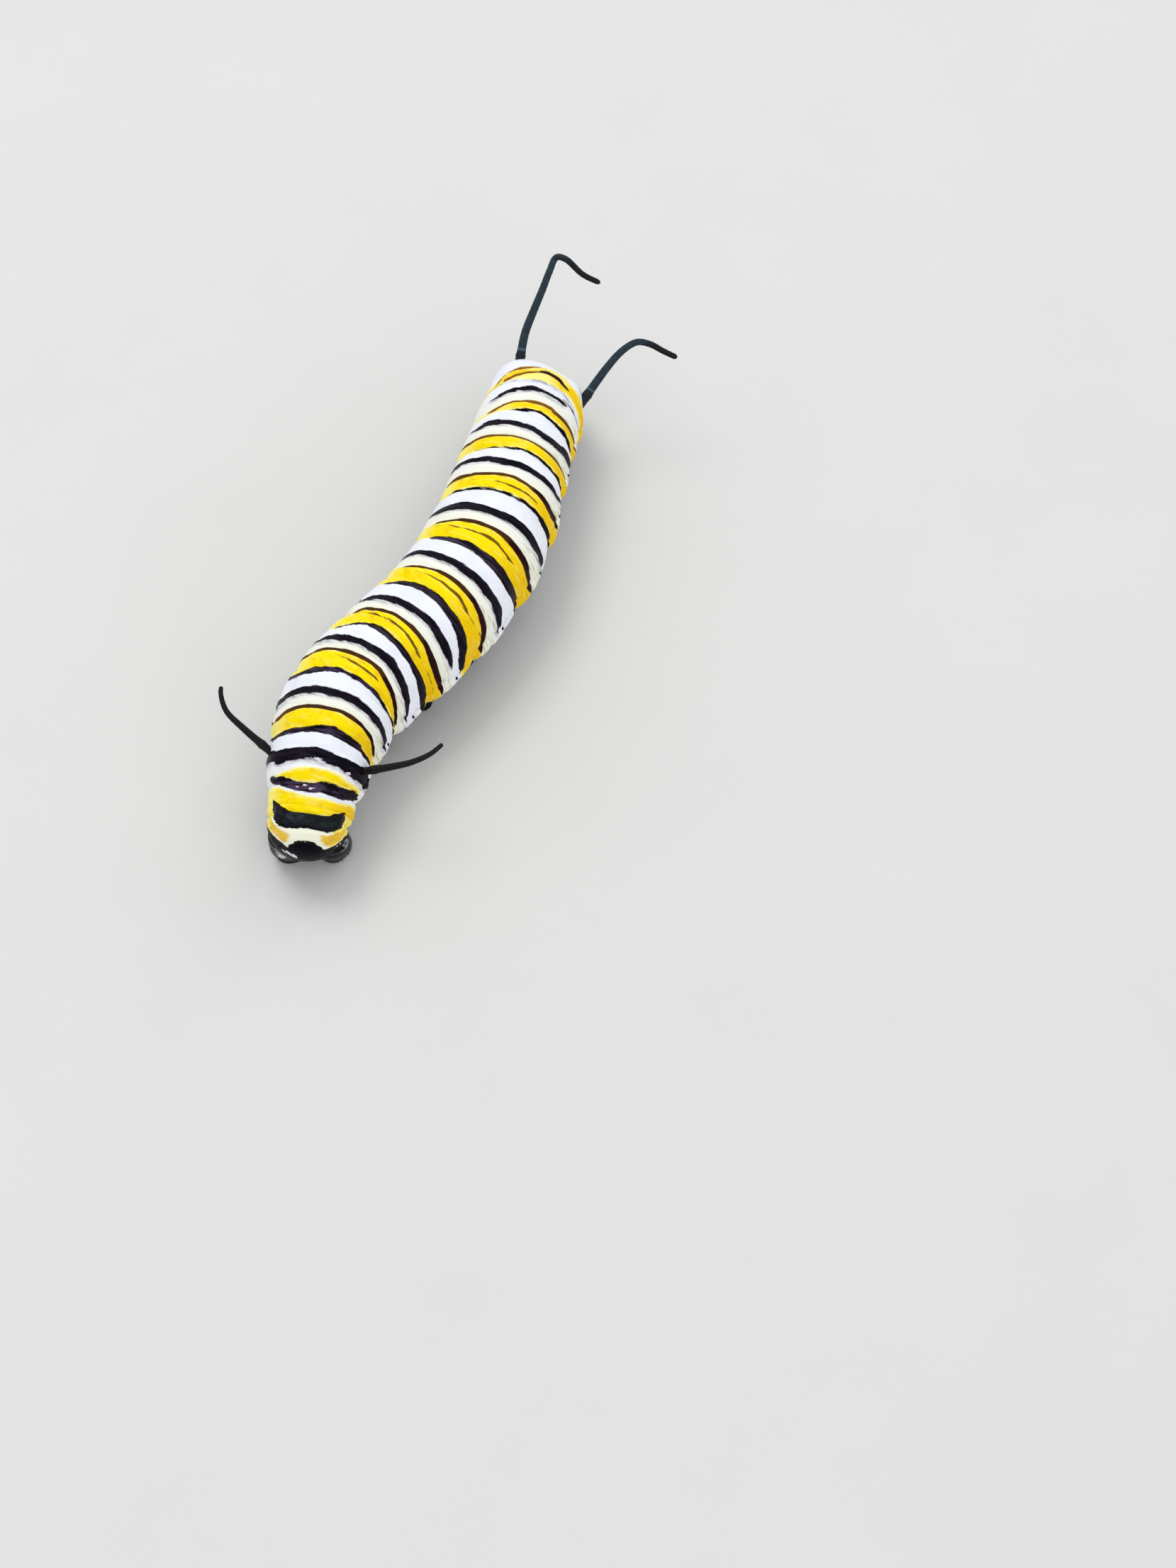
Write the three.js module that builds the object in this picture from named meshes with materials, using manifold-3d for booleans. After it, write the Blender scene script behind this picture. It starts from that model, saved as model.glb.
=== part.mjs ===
// A monarch larva in its last instar, life size, resting on a flat floor with its head bent down.
// Millimetres, +Z up, head towards -Y and tail towards +Y, so the larva's right side faces -X.
// The origin is on the floor under the middle of the larva.

import * as THREE from 'three';
import { mergeVertices } from 'three/addons/utils/BufferGeometryUtils.js';
import Module from 'manifold-3d';

const wasm = await Module();
wasm.setup();

// Driving dimensions of the body
const GAP = 0.3;
const BEND_GAP = 0.48;
const NECK = new THREE.Vector3(-0.118, -14.872, 2.4);
const SECTION_HEIGHT = 0.98;
const BELLY_FLATTENING = 0.11;
const WALK_STEP = 0.02;

// The swelling low on each flank, as a share of the half width: its height at its fullest and at
// the creases, its turn from the back and half width in degrees, and how far back it is fullest
const FLANK = { full: 0.085, crease: 0.035, turn: 108, spread: 18, backward: 1.5 };

// One row for each segment: its name, length along the middle line, half width,
// turn to the larva's right and dip towards the head, the last two in degrees
const SEGMENTS = [
  ['thorax_1', 1.3, 2.35, 0, 60],
  ['thorax_2', 2.4, 3.02, -4, 29],
  ['thorax_3', 2.1, 3.1, -9, 6],
  ['abdomen_1', 3.0, 3.2, -8, 2],
  ['abdomen_2', 3.5, 3.42, -9, 0],
  ['abdomen_3', 4.0, 3.6, 1.5, 0],
  ['abdomen_4', 3.85, 3.52, 11, 0],
  ['abdomen_5', 3.7, 3.55, 20.5, 0],
  ['abdomen_6', 3.75, 3.5, 18, -0.5],
  ['abdomen_7', 3.3, 3.3, -3.5, -3.5],
  ['abdomen_8', 2.8, 2.84, -13.5, -10],
  ['abdomen_9', 1.55, 2.36, -12.5, -20],
  ['abdomen_10', 2.2, 2.26, -18, -24],
];

// Folds across a segment: place as a share of its length, depth in mm, half length as a share
const FOLDS = [
  [0, 0.16, 0.09],
  [0.36, 0.04, 0.05],
  [0.67, 0.06, 0.05],
  [1, 0.16, 0.09],
];
const BODY_SIDES = 24;
const RINGS_AT = [0, 0.06, 0.15, 0.3, 0.38, 0.53, 0.67, 0.81, 0.94, 1];
const TAIL_END = 0.985;

// The low humps that carry the front filaments: their segment, their place and half length as
// shares of it, then the turn to the right, half width in degrees and height of each
const HUMPS = { segment: 1, at: 0.3, reach: 0.3 };
const HUMP_ROWS = [
  [-44, 30, 0.58],
  [50, 16, 0.28],
];

// Colours and finishes
const FINISHES = {
  skin: { color: 0xf2ead0, roughness: 0.6, metalness: 0 },
  head: { color: 0x15110c, roughness: 0.3, metalness: 0 },
  black: { color: 0x120e14, roughness: 0.4, metalness: 0 },
  filament: { color: 0x26383b, roughness: 0.55, metalness: 0 },
};

const DOWN = new THREE.Vector3(0, 0, -1);
const ACROSS = new THREE.Vector3(1, 0, 0);
const degrees = THREE.MathUtils.degToRad;
const lengths = SEGMENTS.map((row) => row[1]);
const starts = lengths.map((_, index) => lengths.slice(0, index).reduce((sum, one) => sum + one, 0));
const middles = starts.map((start, index) => start + lengths[index] / 2);
const bodyLength = starts.at(-1) + lengths.at(-1);

function between(place, column) {
  const last = middles.length - 1;
  if (place <= middles[0]) return SEGMENTS[0][column];
  if (place >= middles[last]) return SEGMENTS[last][column];
  const next = middles.findIndex((middle) => middle >= place);
  const share = (place - middles[next - 1]) / (middles[next] - middles[next - 1]);
  return THREE.MathUtils.lerp(SEGMENTS[next - 1][column], SEGMENTS[next][column], share);
}

function forwardAt(place) {
  const turn = degrees(between(place, 3));
  const dip = degrees(between(place, 4));
  return new THREE.Vector3(
    -Math.sin(turn) * Math.cos(dip),
    -Math.cos(turn) * Math.cos(dip),
    -Math.sin(dip),
  );
}

// The middle line of the body, walked backwards from the neck in small steps
function walkBody() {
  const points = [NECK.clone()];
  const steps = Math.round(bodyLength / WALK_STEP);
  for (let step = 0; step < steps; step += 1) {
    const forward = forwardAt((step + 0.5) * WALK_STEP);
    points.push(points[step].clone().addScaledVector(forward, -WALK_STEP));
  }
  return points;
}

const middleLine = walkBody();

function centreAt(place) {
  const steps = THREE.MathUtils.clamp(place / WALK_STEP, 0, middleLine.length - 1);
  const step = Math.min(Math.floor(steps), middleLine.length - 2);
  return middleLine[step].clone().lerp(middleLine[step + 1], steps - step);
}

function frameAt(place) {
  const forward = forwardAt(place);
  const right = forward.clone().cross(new THREE.Vector3(0, 0, 1)).normalize();
  const up = right.clone().cross(forward);
  return { centre: centreAt(place), forward, right, up };
}

function segmentShare(place) {
  const index = Math.max(starts.findLastIndex((start) => start <= place), 0);
  return { index, share: (place - starts[index]) / lengths[index] };
}

function foldDepth(place) {
  const { index, share } = segmentShare(place);
  let depth = 0;
  for (const [at, deep, spread] of FOLDS) {
    if (index === 0 && at === 0) continue;
    depth += deep * Math.exp(-(((share - at) / spread) ** 2));
  }
  return depth;
}

function humpHeight(place, turn) {
  const share = (place - starts[HUMPS.segment]) / lengths[HUMPS.segment];
  const along = (share - HUMPS.at) / HUMPS.reach;
  return HUMP_ROWS.reduce((sum, [at, spread, height]) => {
    const across = (turn - degrees(at)) / degrees(spread);
    return sum + height * Math.exp(-(along ** 2) - across ** 2);
  }, 0);
}

function tailShare(place) {
  return Math.max((place - starts.at(-1)) / lengths.at(-1), 0) * TAIL_END;
}

// Distance from the middle line to the skin, for a turn away from the back in radians
function skinReach(place, turn) {
  const fold = (Math.abs(turn) - degrees(FLANK.turn)) / degrees(FLANK.spread);
  const lobe = Math.sin(Math.PI * Math.min(segmentShare(place).share, 1) ** FLANK.backward);
  const swelling = THREE.MathUtils.lerp(FLANK.crease, FLANK.full, lobe) * Math.exp(-(fold ** 2));
  const belly = Math.max(-Math.cos(turn), 0);
  const section = 1 + swelling - BELLY_FLATTENING * belly ** 2;
  const dome = Math.sqrt(1 - tailShare(place) ** 2);
  return (between(place, 2) * section - foldDepth(place) + humpHeight(place, turn)) * dome;
}

// A point at a share of the way from the middle line to the skin, and some mm beyond that
function bodySpot(place, turn, share, beyond = 0) {
  const { centre, forward, right, up } = frameAt(place);
  const behind = tailShare(place);
  const reach = skinReach(place, turn) * share + beyond * Math.sqrt(1 - behind ** 2);
  centre.addScaledVector(forward, -beyond * behind);
  centre.addScaledVector(right, reach * Math.sin(turn));
  return centre.addScaledVector(up, reach * Math.cos(turn) * SECTION_HEIGHT);
}

// Vertices nearer to each other than this, in mm, become one
const MERGE_DISTANCE = 1e-4;

function bare(geometry) {
  geometry.deleteAttribute('normal');
  geometry.deleteAttribute('uv');
  return mergeVertices(geometry, MERGE_DISTANCE);
}

// Moves every vertex of a plain shape to the point that the function gives for it
function reshape(geometry, move) {
  const shape = bare(geometry);
  const position = shape.getAttribute('position');
  for (let index = 0; index < position.count; index += 1) {
    const point = move(new THREE.Vector3().fromBufferAttribute(position, index));
    position.setXYZ(index, point.x, point.y, point.z);
  }
  return shape;
}

function toSolid(geometry) {
  const vertProperties = Float32Array.from(geometry.getAttribute('position').array);
  const triVerts = Uint32Array.from(geometry.getIndex().array);
  return new wasm.Manifold(new wasm.Mesh({ numProp: 3, vertProperties, triVerts }));
}

// Keeps the largest closed body of a solid
function largest(solid) {
  const bodies = solid.decompose();
  bodies.sort((one, other) => other.volume() - one.volume());
  return bodies[0];
}

function toGeometry(solid) {
  const mesh = largest(solid).getMesh();
  const geometry = new THREE.BufferGeometry();
  const positions = new Float32Array(mesh.vertProperties);
  geometry.setAttribute('position', new THREE.BufferAttribute(positions, 3));
  geometry.setIndex([...mesh.triVerts]);
  geometry.computeVertexNormals();
  return geometry;
}

const larva = new THREE.Group();

function addPiece(name, solid, finish) {
  const mesh = new THREE.Mesh(toGeometry(solid), new THREE.MeshStandardMaterial(FINISHES[finish]));
  mesh.name = name;
  larva.add(mesh);
}

// A length of the body between two places, its skin moved outwards by some mm
function bodyLengthSolid(from, to, outwards, ringsAt) {
  const unit = new THREE.CylinderGeometry(1, 1, 1, BODY_SIDES, ringsAt.length - 1);
  return toSolid(reshape(unit, (point) => {
    const ring = Math.round((0.5 - point.y) * (ringsAt.length - 1));
    const place = THREE.MathUtils.lerp(from, to, ringsAt[ring]);
    const onRim = Math.hypot(point.x, point.z) > 0.5 ? 1 : 0;
    const spot = bodySpot(place, Math.atan2(point.x, point.z), onRim, outwards * onRim);
    return ring === 0 ? spot.addScaledVector(forwardAt(place), outwards) : spot;
  }));
}

// The whole body with its skin moved outwards, which keeps limbs clear of it
function clearance(outwards) {
  const ringsAt = [];
  SEGMENTS.forEach((row, index) => {
    for (const share of RINGS_AT.slice(0, -1)) {
      ringsAt.push((starts[index] + share * lengths[index]) / bodyLength);
    }
  });
  ringsAt.push(1);
  return bodyLengthSolid(0, bodyLength, outwards, ringsAt);
}

const clearOfBody = clearance(GAP);
const clearOfBends = clearance(BEND_GAP);

// A block that starts at a flat face through a point and lies on the side of its normal
const BLOCK_SIZE = 12;

function blockFrom(point, normal, across) {
  const along = normal.clone().cross(across);
  const middle = point.clone().addScaledVector(normal, BLOCK_SIZE / 2);
  const placing = new THREE.Matrix4().makeBasis(across, along, normal).setPosition(middle);
  const block = new THREE.BoxGeometry(BLOCK_SIZE, BLOCK_SIZE, BLOCK_SIZE);
  return toSolid(bare(block).applyMatrix4(placing));
}

// Takes away all that lies nearer to a crease than half the gap, on either side of it
function trimmedAt(solid, crease, side) {
  const { centre, forward, right } = frameAt(crease);
  const outside = forward.multiplyScalar(side);
  return solid.subtract(blockFrom(centre.addScaledVector(outside, -GAP / 2), outside, right));
}

// Anal shield: the slanting cap over the end of the last segment
const SHIELD_LENGTH = 0.79;
const SHIELD_SLANT = 54;

function shieldBlock(lowered) {
  const place = starts.at(-1) + SHIELD_LENGTH;
  const { right, up } = frameAt(place);
  const normal = up.clone().applyAxisAngle(right, degrees(-SHIELD_SLANT));
  const face = bodySpot(place, 0, 1).addScaledVector(normal, -lowered);
  return blockFrom(face, normal, right);
}

function addSegments() {
  SEGMENTS.forEach(([name, length], index) => {
    const isTail = index === SEGMENTS.length - 1;
    const from = starts[index];
    const to = from + length;
    const tailRings = RINGS_AT.map((share) => Math.sin((share * Math.PI) / 2));
    let solid = bodyLengthSolid(from, to, 0, isTail ? tailRings : RINGS_AT);
    if (index === 0) solid = solid.subtract(headSolid(GAP));
    if (index > 0) solid = trimmedAt(solid, from, 1);
    if (isTail) {
      addPiece('anal_shield', solid.intersect(shieldBlock(0)), 'black');
      solid = solid.subtract(shieldBlock(GAP));
    } else {
      solid = trimmedAt(solid, to, -1);
    }
    addPiece(name, solid, 'skin');
  });
}

// Head
const HEAD_REACH = 0.6;
const HEAD_TURN = 2;
const HEAD_DIP = 66;
const FACE_GAP = 0.37;
const HEAD_HALF_WIDTH = 1.65;
const HEAD_HALF_DEPTH = 1.22;
const HEAD_HALF_HEIGHT = 1.48;
const CLEFT_DEPTH = 0.16;
const CLEFT_SPREAD = 0.14;
const CLEFT_FROM = -0.3;
const CLEFT_FULL = 0.4;
const CHIN_NARROWING = 0.14;
const HEAD_SIDES = 24;
const HEAD_RINGS = 14;
const STEMMA_RADIUS = 0.15;
const STEMMA_SIDES = 6;
const STEMMA_RINGS = 4;
// How deep the middle of each small eye lies under the cheek
const STEMMA_SUNK = 0.05;
// Six small eyes on each cheek, as directions from the middle of the head
const STEMMATA = [
  [0.86, 0.34, -0.14],
  [0.8, 0.48, -0.2],
  [0.76, 0.54, -0.34],
  [0.76, 0.48, -0.48],
  [0.82, 0.34, -0.52],
  [0.9, 0.2, -0.38],
];

function headFrame() {
  const turn = degrees(HEAD_TURN);
  const dip = degrees(HEAD_DIP);
  const forward = new THREE.Vector3(
    -Math.sin(turn) * Math.cos(dip),
    -Math.cos(turn) * Math.cos(dip),
    -Math.sin(dip),
  );
  const right = forward.clone().cross(new THREE.Vector3(0, 0, 1)).normalize();
  const up = right.clone().cross(forward);
  const centre = NECK.clone().addScaledVector(forwardAt(0), HEAD_REACH);
  return new THREE.Matrix4().makeBasis(right, forward, up).setPosition(centre);
}

const headPlacing = headFrame();

// A point on the head for a direction to its right, front and crown
function headSpot(direction, beyond = 0) {
  const { x, y, z } = direction.clone().normalize();
  const rise = THREE.MathUtils.smoothstep(z, CLEFT_FROM, CLEFT_FULL);
  const cleft = CLEFT_DEPTH * rise * Math.exp(-((x / CLEFT_SPREAD) ** 2));
  const chin = 1 - CHIN_NARROWING * Math.max(-z, 0);
  const point = new THREE.Vector3(
    x * (HEAD_HALF_WIDTH + beyond) * chin,
    y * (HEAD_HALF_DEPTH + beyond - cleft),
    z * (HEAD_HALF_HEIGHT + beyond - cleft),
  );
  return point.applyMatrix4(headPlacing);
}

function headSolid(beyond) {
  const unit = new THREE.SphereGeometry(1, HEAD_SIDES, HEAD_RINGS).rotateX(Math.PI / 2);
  return toSolid(reshape(unit, (point) => headSpot(point, beyond)));
}

function addHead() {
  let solid = headSolid(0);
  for (const side of [-1, 1]) {
    for (const [x, y, z] of STEMMATA) {
      const place = headSpot(new THREE.Vector3(side * x, y, z), -STEMMA_SUNK);
      const bead = bare(new THREE.SphereGeometry(STEMMA_RADIUS, STEMMA_SIDES, STEMMA_RINGS));
      solid = solid.add(toSolid(bead.translate(place.x, place.y, place.z)));
    }
  }
  addPiece('head', solid, 'head');
}

// A round limb along a curve, its radius given at even steps
function limb(points, radii, sides) {
  const curve = new THREE.CatmullRomCurve3(points);
  const rings = radii.length - 1;
  const frames = curve.computeFrenetFrames(rings);
  const unit = new THREE.CylinderGeometry(1, 1, 1, sides, rings);
  return toSolid(reshape(unit, (point) => {
    const ring = Math.round((0.5 - point.y) * rings);
    const place = curve.getPointAt(ring / rings);
    place.addScaledVector(frames.normals[ring], point.x * radii[ring]);
    return place.addScaledVector(frames.binormals[ring], point.z * radii[ring]);
  }));
}

// Antennae and mouthparts, in the head's own right, front and crown
const ANTENNA_ROOT = [0.92, 0.5, -0.86];
const ANTENNA_TIP = [1.55, 1.05, -1.1];
const ANTENNA_RADII = [0.26, 0.26, 0.25, 0.2, 0.2, 0.13];
const ANTENNA_SIDES = 8;

function inHead(x, y, z) {
  return new THREE.Vector3(x, y, z).applyMatrix4(headPlacing);
}

function addAntennae(clearOfHead) {
  for (const [side, word] of [[1, 'right'], [-1, 'left']]) {
    const [rootX, rootY, rootZ] = ANTENNA_ROOT;
    const [tipX, tipY, tipZ] = ANTENNA_TIP;
    const root = inHead(side * rootX, rootY, rootZ);
    const tip = inHead(side * tipX, tipY, tipZ);
    const feeler = limb([root, root.clone().lerp(tip, 0.5), tip], ANTENNA_RADII, ANTENNA_SIDES);
    addPiece(`antenna_${word}`, feeler.subtract(clearOfHead), 'black');
  }
}

// Upper lip, jaws and spinning lip, joined as they close on each other
const LIP_SIZE = [0.95, 0.5, 0.5];
const LIP_PLACE = [0, 0.86, -1.45];
const JAW_RADIUS = 0.36;
const JAW_SQUASH = [1, 0.8, 1.1];
const MOUTH_SIDES = 10;
const JAW_RINGS = 6;
const JAW_PLACE = [0.34, 0.54, -1.53];
const SPINNERET_RADII = [0.22, 0.4];
const SPINNERET_LENGTH = 0.6;
const SPINNERET_PLACE = [0, 0.21, -1.43];

function placedInHead(geometry, x, y, z) {
  const turned = new THREE.Matrix4().extractRotation(headPlacing);
  const spot = inHead(x, y, z);
  return toSolid(bare(geometry).applyMatrix4(turned).translate(spot.x, spot.y, spot.z));
}

function addMouth(clearOfHead) {
  let mouth = placedInHead(new THREE.BoxGeometry(...LIP_SIZE), ...LIP_PLACE);
  const [jawOut, jawFront, jawCrown] = JAW_PLACE;
  for (const side of [-1, 1]) {
    const jaw = new THREE.SphereGeometry(JAW_RADIUS, MOUTH_SIDES, JAW_RINGS).scale(...JAW_SQUASH);
    mouth = mouth.add(placedInHead(jaw, side * jawOut, jawFront, jawCrown));
  }
  const spinneret = new THREE.CylinderGeometry(...SPINNERET_RADII, SPINNERET_LENGTH, MOUTH_SIDES);
  mouth = mouth.add(placedInHead(spinneret.rotateX(-Math.PI / 2), ...SPINNERET_PLACE));
  addPiece('mouthparts', mouth.subtract(clearOfHead), 'black');
}

// Jointed legs under the three thorax segments
const LEG_ROOT_SHARE = 0.5;
const LEG_RADII = [0.5, 0.5, 0.5, 0.42, 0.34, 0.37, 0.3, 0.25, 0.27, 0.2, 0.12];
const LEG_SIDES = 10;
const LEG_TURN = 148;
const CLAW_FLAT = 0.02;
// For each pair: the segment, then the knee and the foot as distances to the side of the neck,
// behind it and above the floor
const LEGS = [
  [0, [1.15, 1.7, 1.0], [0.95, 1.5, 0]],
  [1, [1.6, 2.85, 1.15], [1.5, 2.75, 0]],
  [2, [2.0, 4.2, 1.25], [1.95, 4.15, 0]],
];

// A bend of a leg from its distances to the neck and its height, the claw ending in a small flat
function legBend(side, [out, behind, high]) {
  return new THREE.Vector3(NECK.x - side * out, NECK.y + behind, high - CLAW_FLAT);
}

function addLegs() {
  const ground = blockFrom(new THREE.Vector3(0, NECK.y, 0), DOWN, ACROSS);
  LEGS.forEach(([segment, knee, foot], pair) => {
    const place = starts[segment] + lengths[segment] / 2;
    for (const [side, word] of [[1, 'right'], [-1, 'left']]) {
      const root = bodySpot(place, side * degrees(LEG_TURN), LEG_ROOT_SHARE);
      const coxa = bodySpot(place, side * degrees(LEG_TURN), 1);
      const bends = [legBend(side, knee), legBend(side, foot)];
      const leg = limb([root, coxa, ...bends], LEG_RADII, LEG_SIDES);
      const standing = leg.subtract(clearOfBends).subtract(ground);
      addPiece(`true_leg_${pair + 1}_${word}`, standing, 'black');
    }
  });
}

// Prolegs: a column that narrows to an ankle over a flat sole
const PROLEG_SIDES = 14;
const THORAX_SEGMENTS = 3;
const PROLEG_SEGMENTS = [5, 6, 7, 8];
const PROLEG_SHARE = 0.55;
const PROLEG_TURN = 142;
const PROLEG_ROOT_SHARE = 0.65;
// How far each foot stands out from under the middle of the body, and behind its root
const PROLEG_FEET = { right: [0.95, 0], left: [0.95, 0] };
// Height of each ring as a share from the floor to the root, and its radius in mm
const PROLEG_RINGS = [
  [1, 1],
  [0.7, 1.02],
  [0.5, 0.96],
  [0.36, 0.85],
  [0.26, 0.72],
  [0.17, 0.66],
  [0.08, 0.76],
  [0.03, 0.74],
  [0, 0.62],
];
const ANAL_SHARE = 0.3;
const ANAL_TURN = 125;
const ANAL_ROOT_SHARE = 0.7;
const ANAL_FEET = { right: [1.15, -0.6], left: [1.2, -0.25] };
const ANAL_RINGS = [
  [1, 1.05],
  [0.7, 1.12],
  [0.5, 1.12],
  [0.33, 1.05],
  [0.2, 0.92],
  [0.1, 0.96],
  [0.04, 0.92],
  [0, 0.78],
];

// A column of level rings from a root down to its sole on the floor
function column(root, sole, rings) {
  const unit = new THREE.CylinderGeometry(1, 1, 1, PROLEG_SIDES, rings.length - 1);
  return toSolid(reshape(unit, (point) => {
    const [share, radius] = rings[Math.round((0.5 - point.y) * (rings.length - 1))];
    const centre = sole.clone().lerp(root, share);
    return centre.add(new THREE.Vector3(point.x * radius, -point.z * radius, 0));
  }));
}

// The plan of a pair gives the turn and the share of the skin for its roots, then feet and rings
function addPair(name, place, plan, clear) {
  for (const [side, word] of [[1, 'right'], [-1, 'left']]) {
    const { right, forward } = frameAt(place);
    const [out, behind] = plan.feet[word];
    const root = bodySpot(place, side * degrees(plan.turn), plan.share);
    const sole = bodySpot(place, Math.PI, 1).addScaledVector(right, side * out);
    sole.addScaledVector(forward, -behind).setZ(0);
    addPiece(`${name}_${word}`, column(root, sole, plan.rings).subtract(clear), 'black');
  }
}

function addProlegs() {
  const plan = {
    turn: PROLEG_TURN,
    share: PROLEG_ROOT_SHARE,
    feet: PROLEG_FEET,
    rings: PROLEG_RINGS,
  };
  for (const segment of PROLEG_SEGMENTS) {
    const place = starts[segment] + PROLEG_SHARE * lengths[segment];
    addPair(`proleg_${segment + 1 - THORAX_SEGMENTS}`, place, plan, clearOfBody);
  }
  const analPlan = {
    turn: ANAL_TURN,
    share: ANAL_ROOT_SHARE,
    feet: ANAL_FEET,
    rings: ANAL_RINGS,
  };
  addPair('anal_proleg', starts.at(-1) + ANAL_SHARE * lengths.at(-1), analPlan, clearOfBends);
}

// Filaments: soft black horns on the second thorax segment and the eighth abdomen segment.
// Their points are to the left of, behind and above the neck
const FRONT_ROOTS = { segment: 1, place: 0.27, left: 46, right: 58 };
const REAR_ROOTS = { segment: 10, place: 0.42, left: 66, right: 70 };
const FILAMENT_ROOT_SHARE = 0.85;
const FRONT_BASE_RADII = [0.32, 0.31, 0.3, 0.29, 0.28, 0.28, 0.27, 0.27, 0.26];
const FRONT_TIP_RADII = [0.26, 0.26, 0.25, 0.25, 0.24, 0.24, 0.2];
const REAR_RADII = [0.32, 0.28, 0.27, 0.26, 0.26, 0.25, 0.25, 0.25, 0.24, 0.22, 0.18];
const FILAMENT_SIDES = 8;
const FRONT_LEFT = [
  [1.85, -0.7, 3.65],
  [2, -1.85, 4.55],
  [1.9, -2.95, 5.4],
  [1.75, -4.1, 6.3],
  [1.66, -4.95, 7],
];
const FRONT_LEFT_TIP = [
  [1.62, -5.2, 7.21],
  [1.5, -5.7, 7.58],
  [0.9, -5.72, 7.65],
  [-0.35, -5.35, 7.2],
  [-1.55, -5.3, 6.95],
];
const FRONT_RIGHT = [
  [-2.85, 0.15, 3.05],
  [-3.2, -0.65, 3.7],
  [-3.6, -1.4, 4.4],
  [-4.05, -2.15, 5],
  [-4.35, -2.5, 5.23],
];
const FRONT_RIGHT_TIP = [
  [-4.56, -2.74, 5.39],
  [-4.95, -3, 5.52],
  [-5.65, -3.15, 5.45],
  [-6.5, -3.1, 5.26],
  [-7.45, -3.05, 5.1],
];
const REAR_LEFT = [
  [4.4, 30.95, 3.65],
  [5.6, 30.75, 4.35],
  [6.8, 30.4, 5],
  [7.4, 29.75, 5.45],
  [7.55, 29.35, 5.65],
];
const REAR_RIGHT = [
  [-1.95, 29.9, 3.25],
  [-3, 29.6, 3.75],
  [-4, 29.2, 4.2],
  [-4.9, 28.6, 4.7],
  [-5.4, 27.9, 5.05],
];

function fromNeck(points) {
  return points.map(([x, y, z]) => new THREE.Vector3(x, y, z).add(NECK));
}

// A filament from its root in the skin through its points
function filamentFrom(roots, word, points, radii) {
  const place = starts[roots.segment] + roots.place * lengths[roots.segment];
  const turn = degrees(word === 'right' ? roots.right : -roots.left);
  const root = bodySpot(place, turn, FILAMENT_ROOT_SHARE);
  return limb([root, ...fromNeck(points)], radii, FILAMENT_SIDES).subtract(clearOfBody);
}

function addFilaments() {
  const fronts = { left: [FRONT_LEFT, FRONT_LEFT_TIP], right: [FRONT_RIGHT, FRONT_RIGHT_TIP] };
  const rears = { left: REAR_LEFT, right: REAR_RIGHT };
  for (const word of ['left', 'right']) {
    const [points, tipPoints] = fronts[word];
    const base = filamentFrom(FRONT_ROOTS, word, points, FRONT_BASE_RADII);
    addPiece(`front_filament_${word}_base`, base, 'filament');
    const tip = limb(fromNeck(tipPoints), FRONT_TIP_RADII, FILAMENT_SIDES);
    addPiece(`front_filament_${word}_tip`, tip, 'black');
    const rear = filamentFrom(REAR_ROOTS, word, rears[word], REAR_RADII);
    addPiece(`rear_filament_${word}`, rear, 'black');
  }
}

const clearOfHead = headSolid(FACE_GAP);
addHead();
addAntennae(clearOfHead);
addMouth(clearOfHead);
addSegments();
addLegs();
addProlegs();
addFilaments();

export default larva;
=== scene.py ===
"""A monarch larva in its last instar, life size, at rest on a pale floor.

Millimetres are used for every shape here and turned into metres when a mesh is made.
The head is towards -Y, the tail towards +Y and the larva's right side towards -X.
"""

import math

import bpy
import numpy as np
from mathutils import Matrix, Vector


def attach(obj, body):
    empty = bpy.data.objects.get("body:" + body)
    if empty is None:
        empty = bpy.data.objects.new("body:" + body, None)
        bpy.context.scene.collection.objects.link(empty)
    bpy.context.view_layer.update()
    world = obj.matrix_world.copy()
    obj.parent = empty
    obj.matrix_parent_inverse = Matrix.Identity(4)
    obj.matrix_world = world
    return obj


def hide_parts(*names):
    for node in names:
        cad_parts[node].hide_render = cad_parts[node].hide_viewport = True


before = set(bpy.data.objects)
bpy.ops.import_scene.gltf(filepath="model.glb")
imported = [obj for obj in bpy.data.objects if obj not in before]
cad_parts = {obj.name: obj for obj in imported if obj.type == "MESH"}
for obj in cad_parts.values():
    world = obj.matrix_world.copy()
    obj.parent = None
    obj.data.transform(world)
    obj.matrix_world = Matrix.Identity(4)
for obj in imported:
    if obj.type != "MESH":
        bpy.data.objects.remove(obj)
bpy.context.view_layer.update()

bl_info = {
    "name": "Monarch Larva",
    "version": (1, 0, 0),
    "blender": (4, 5, 0),
    "location": "View3D > Sidebar > Larva",
    "description": "Builds a life-size monarch larva at rest over its solids",
    "category": "Add Mesh",
}

MM = 0.001

# The body's plan, the same as that of the solids

# Where the body begins, in mm
NECK = np.array([-0.118, -14.872, 2.4])
# Height of a section and the flattening of its underside, as shares of its half width
SECTION_HEIGHT = 0.98
BELLY_FLATTENING = 0.11
# The swelling low on each flank: its shares of the half width at mid-segment and at the creases,
# its turn and spread in degrees, and how far back it is fullest
FLANK = {"full": 0.085, "crease": 0.035, "turn": 108.0, "spread": 18.0, "backward": 1.5}
# Step along the middle line in mm, and where on its dome the tail ends
WALK_STEP = 0.02
TAIL_END = 0.985
# The humps at the front filaments: turn and half width in degrees, height in mm
HUMPS = {"segment": 1, "at": 0.3, "reach": 0.3, "rows": [(-44.0, 30.0, 0.58), (50.0, 16.0, 0.28)]}

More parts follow.
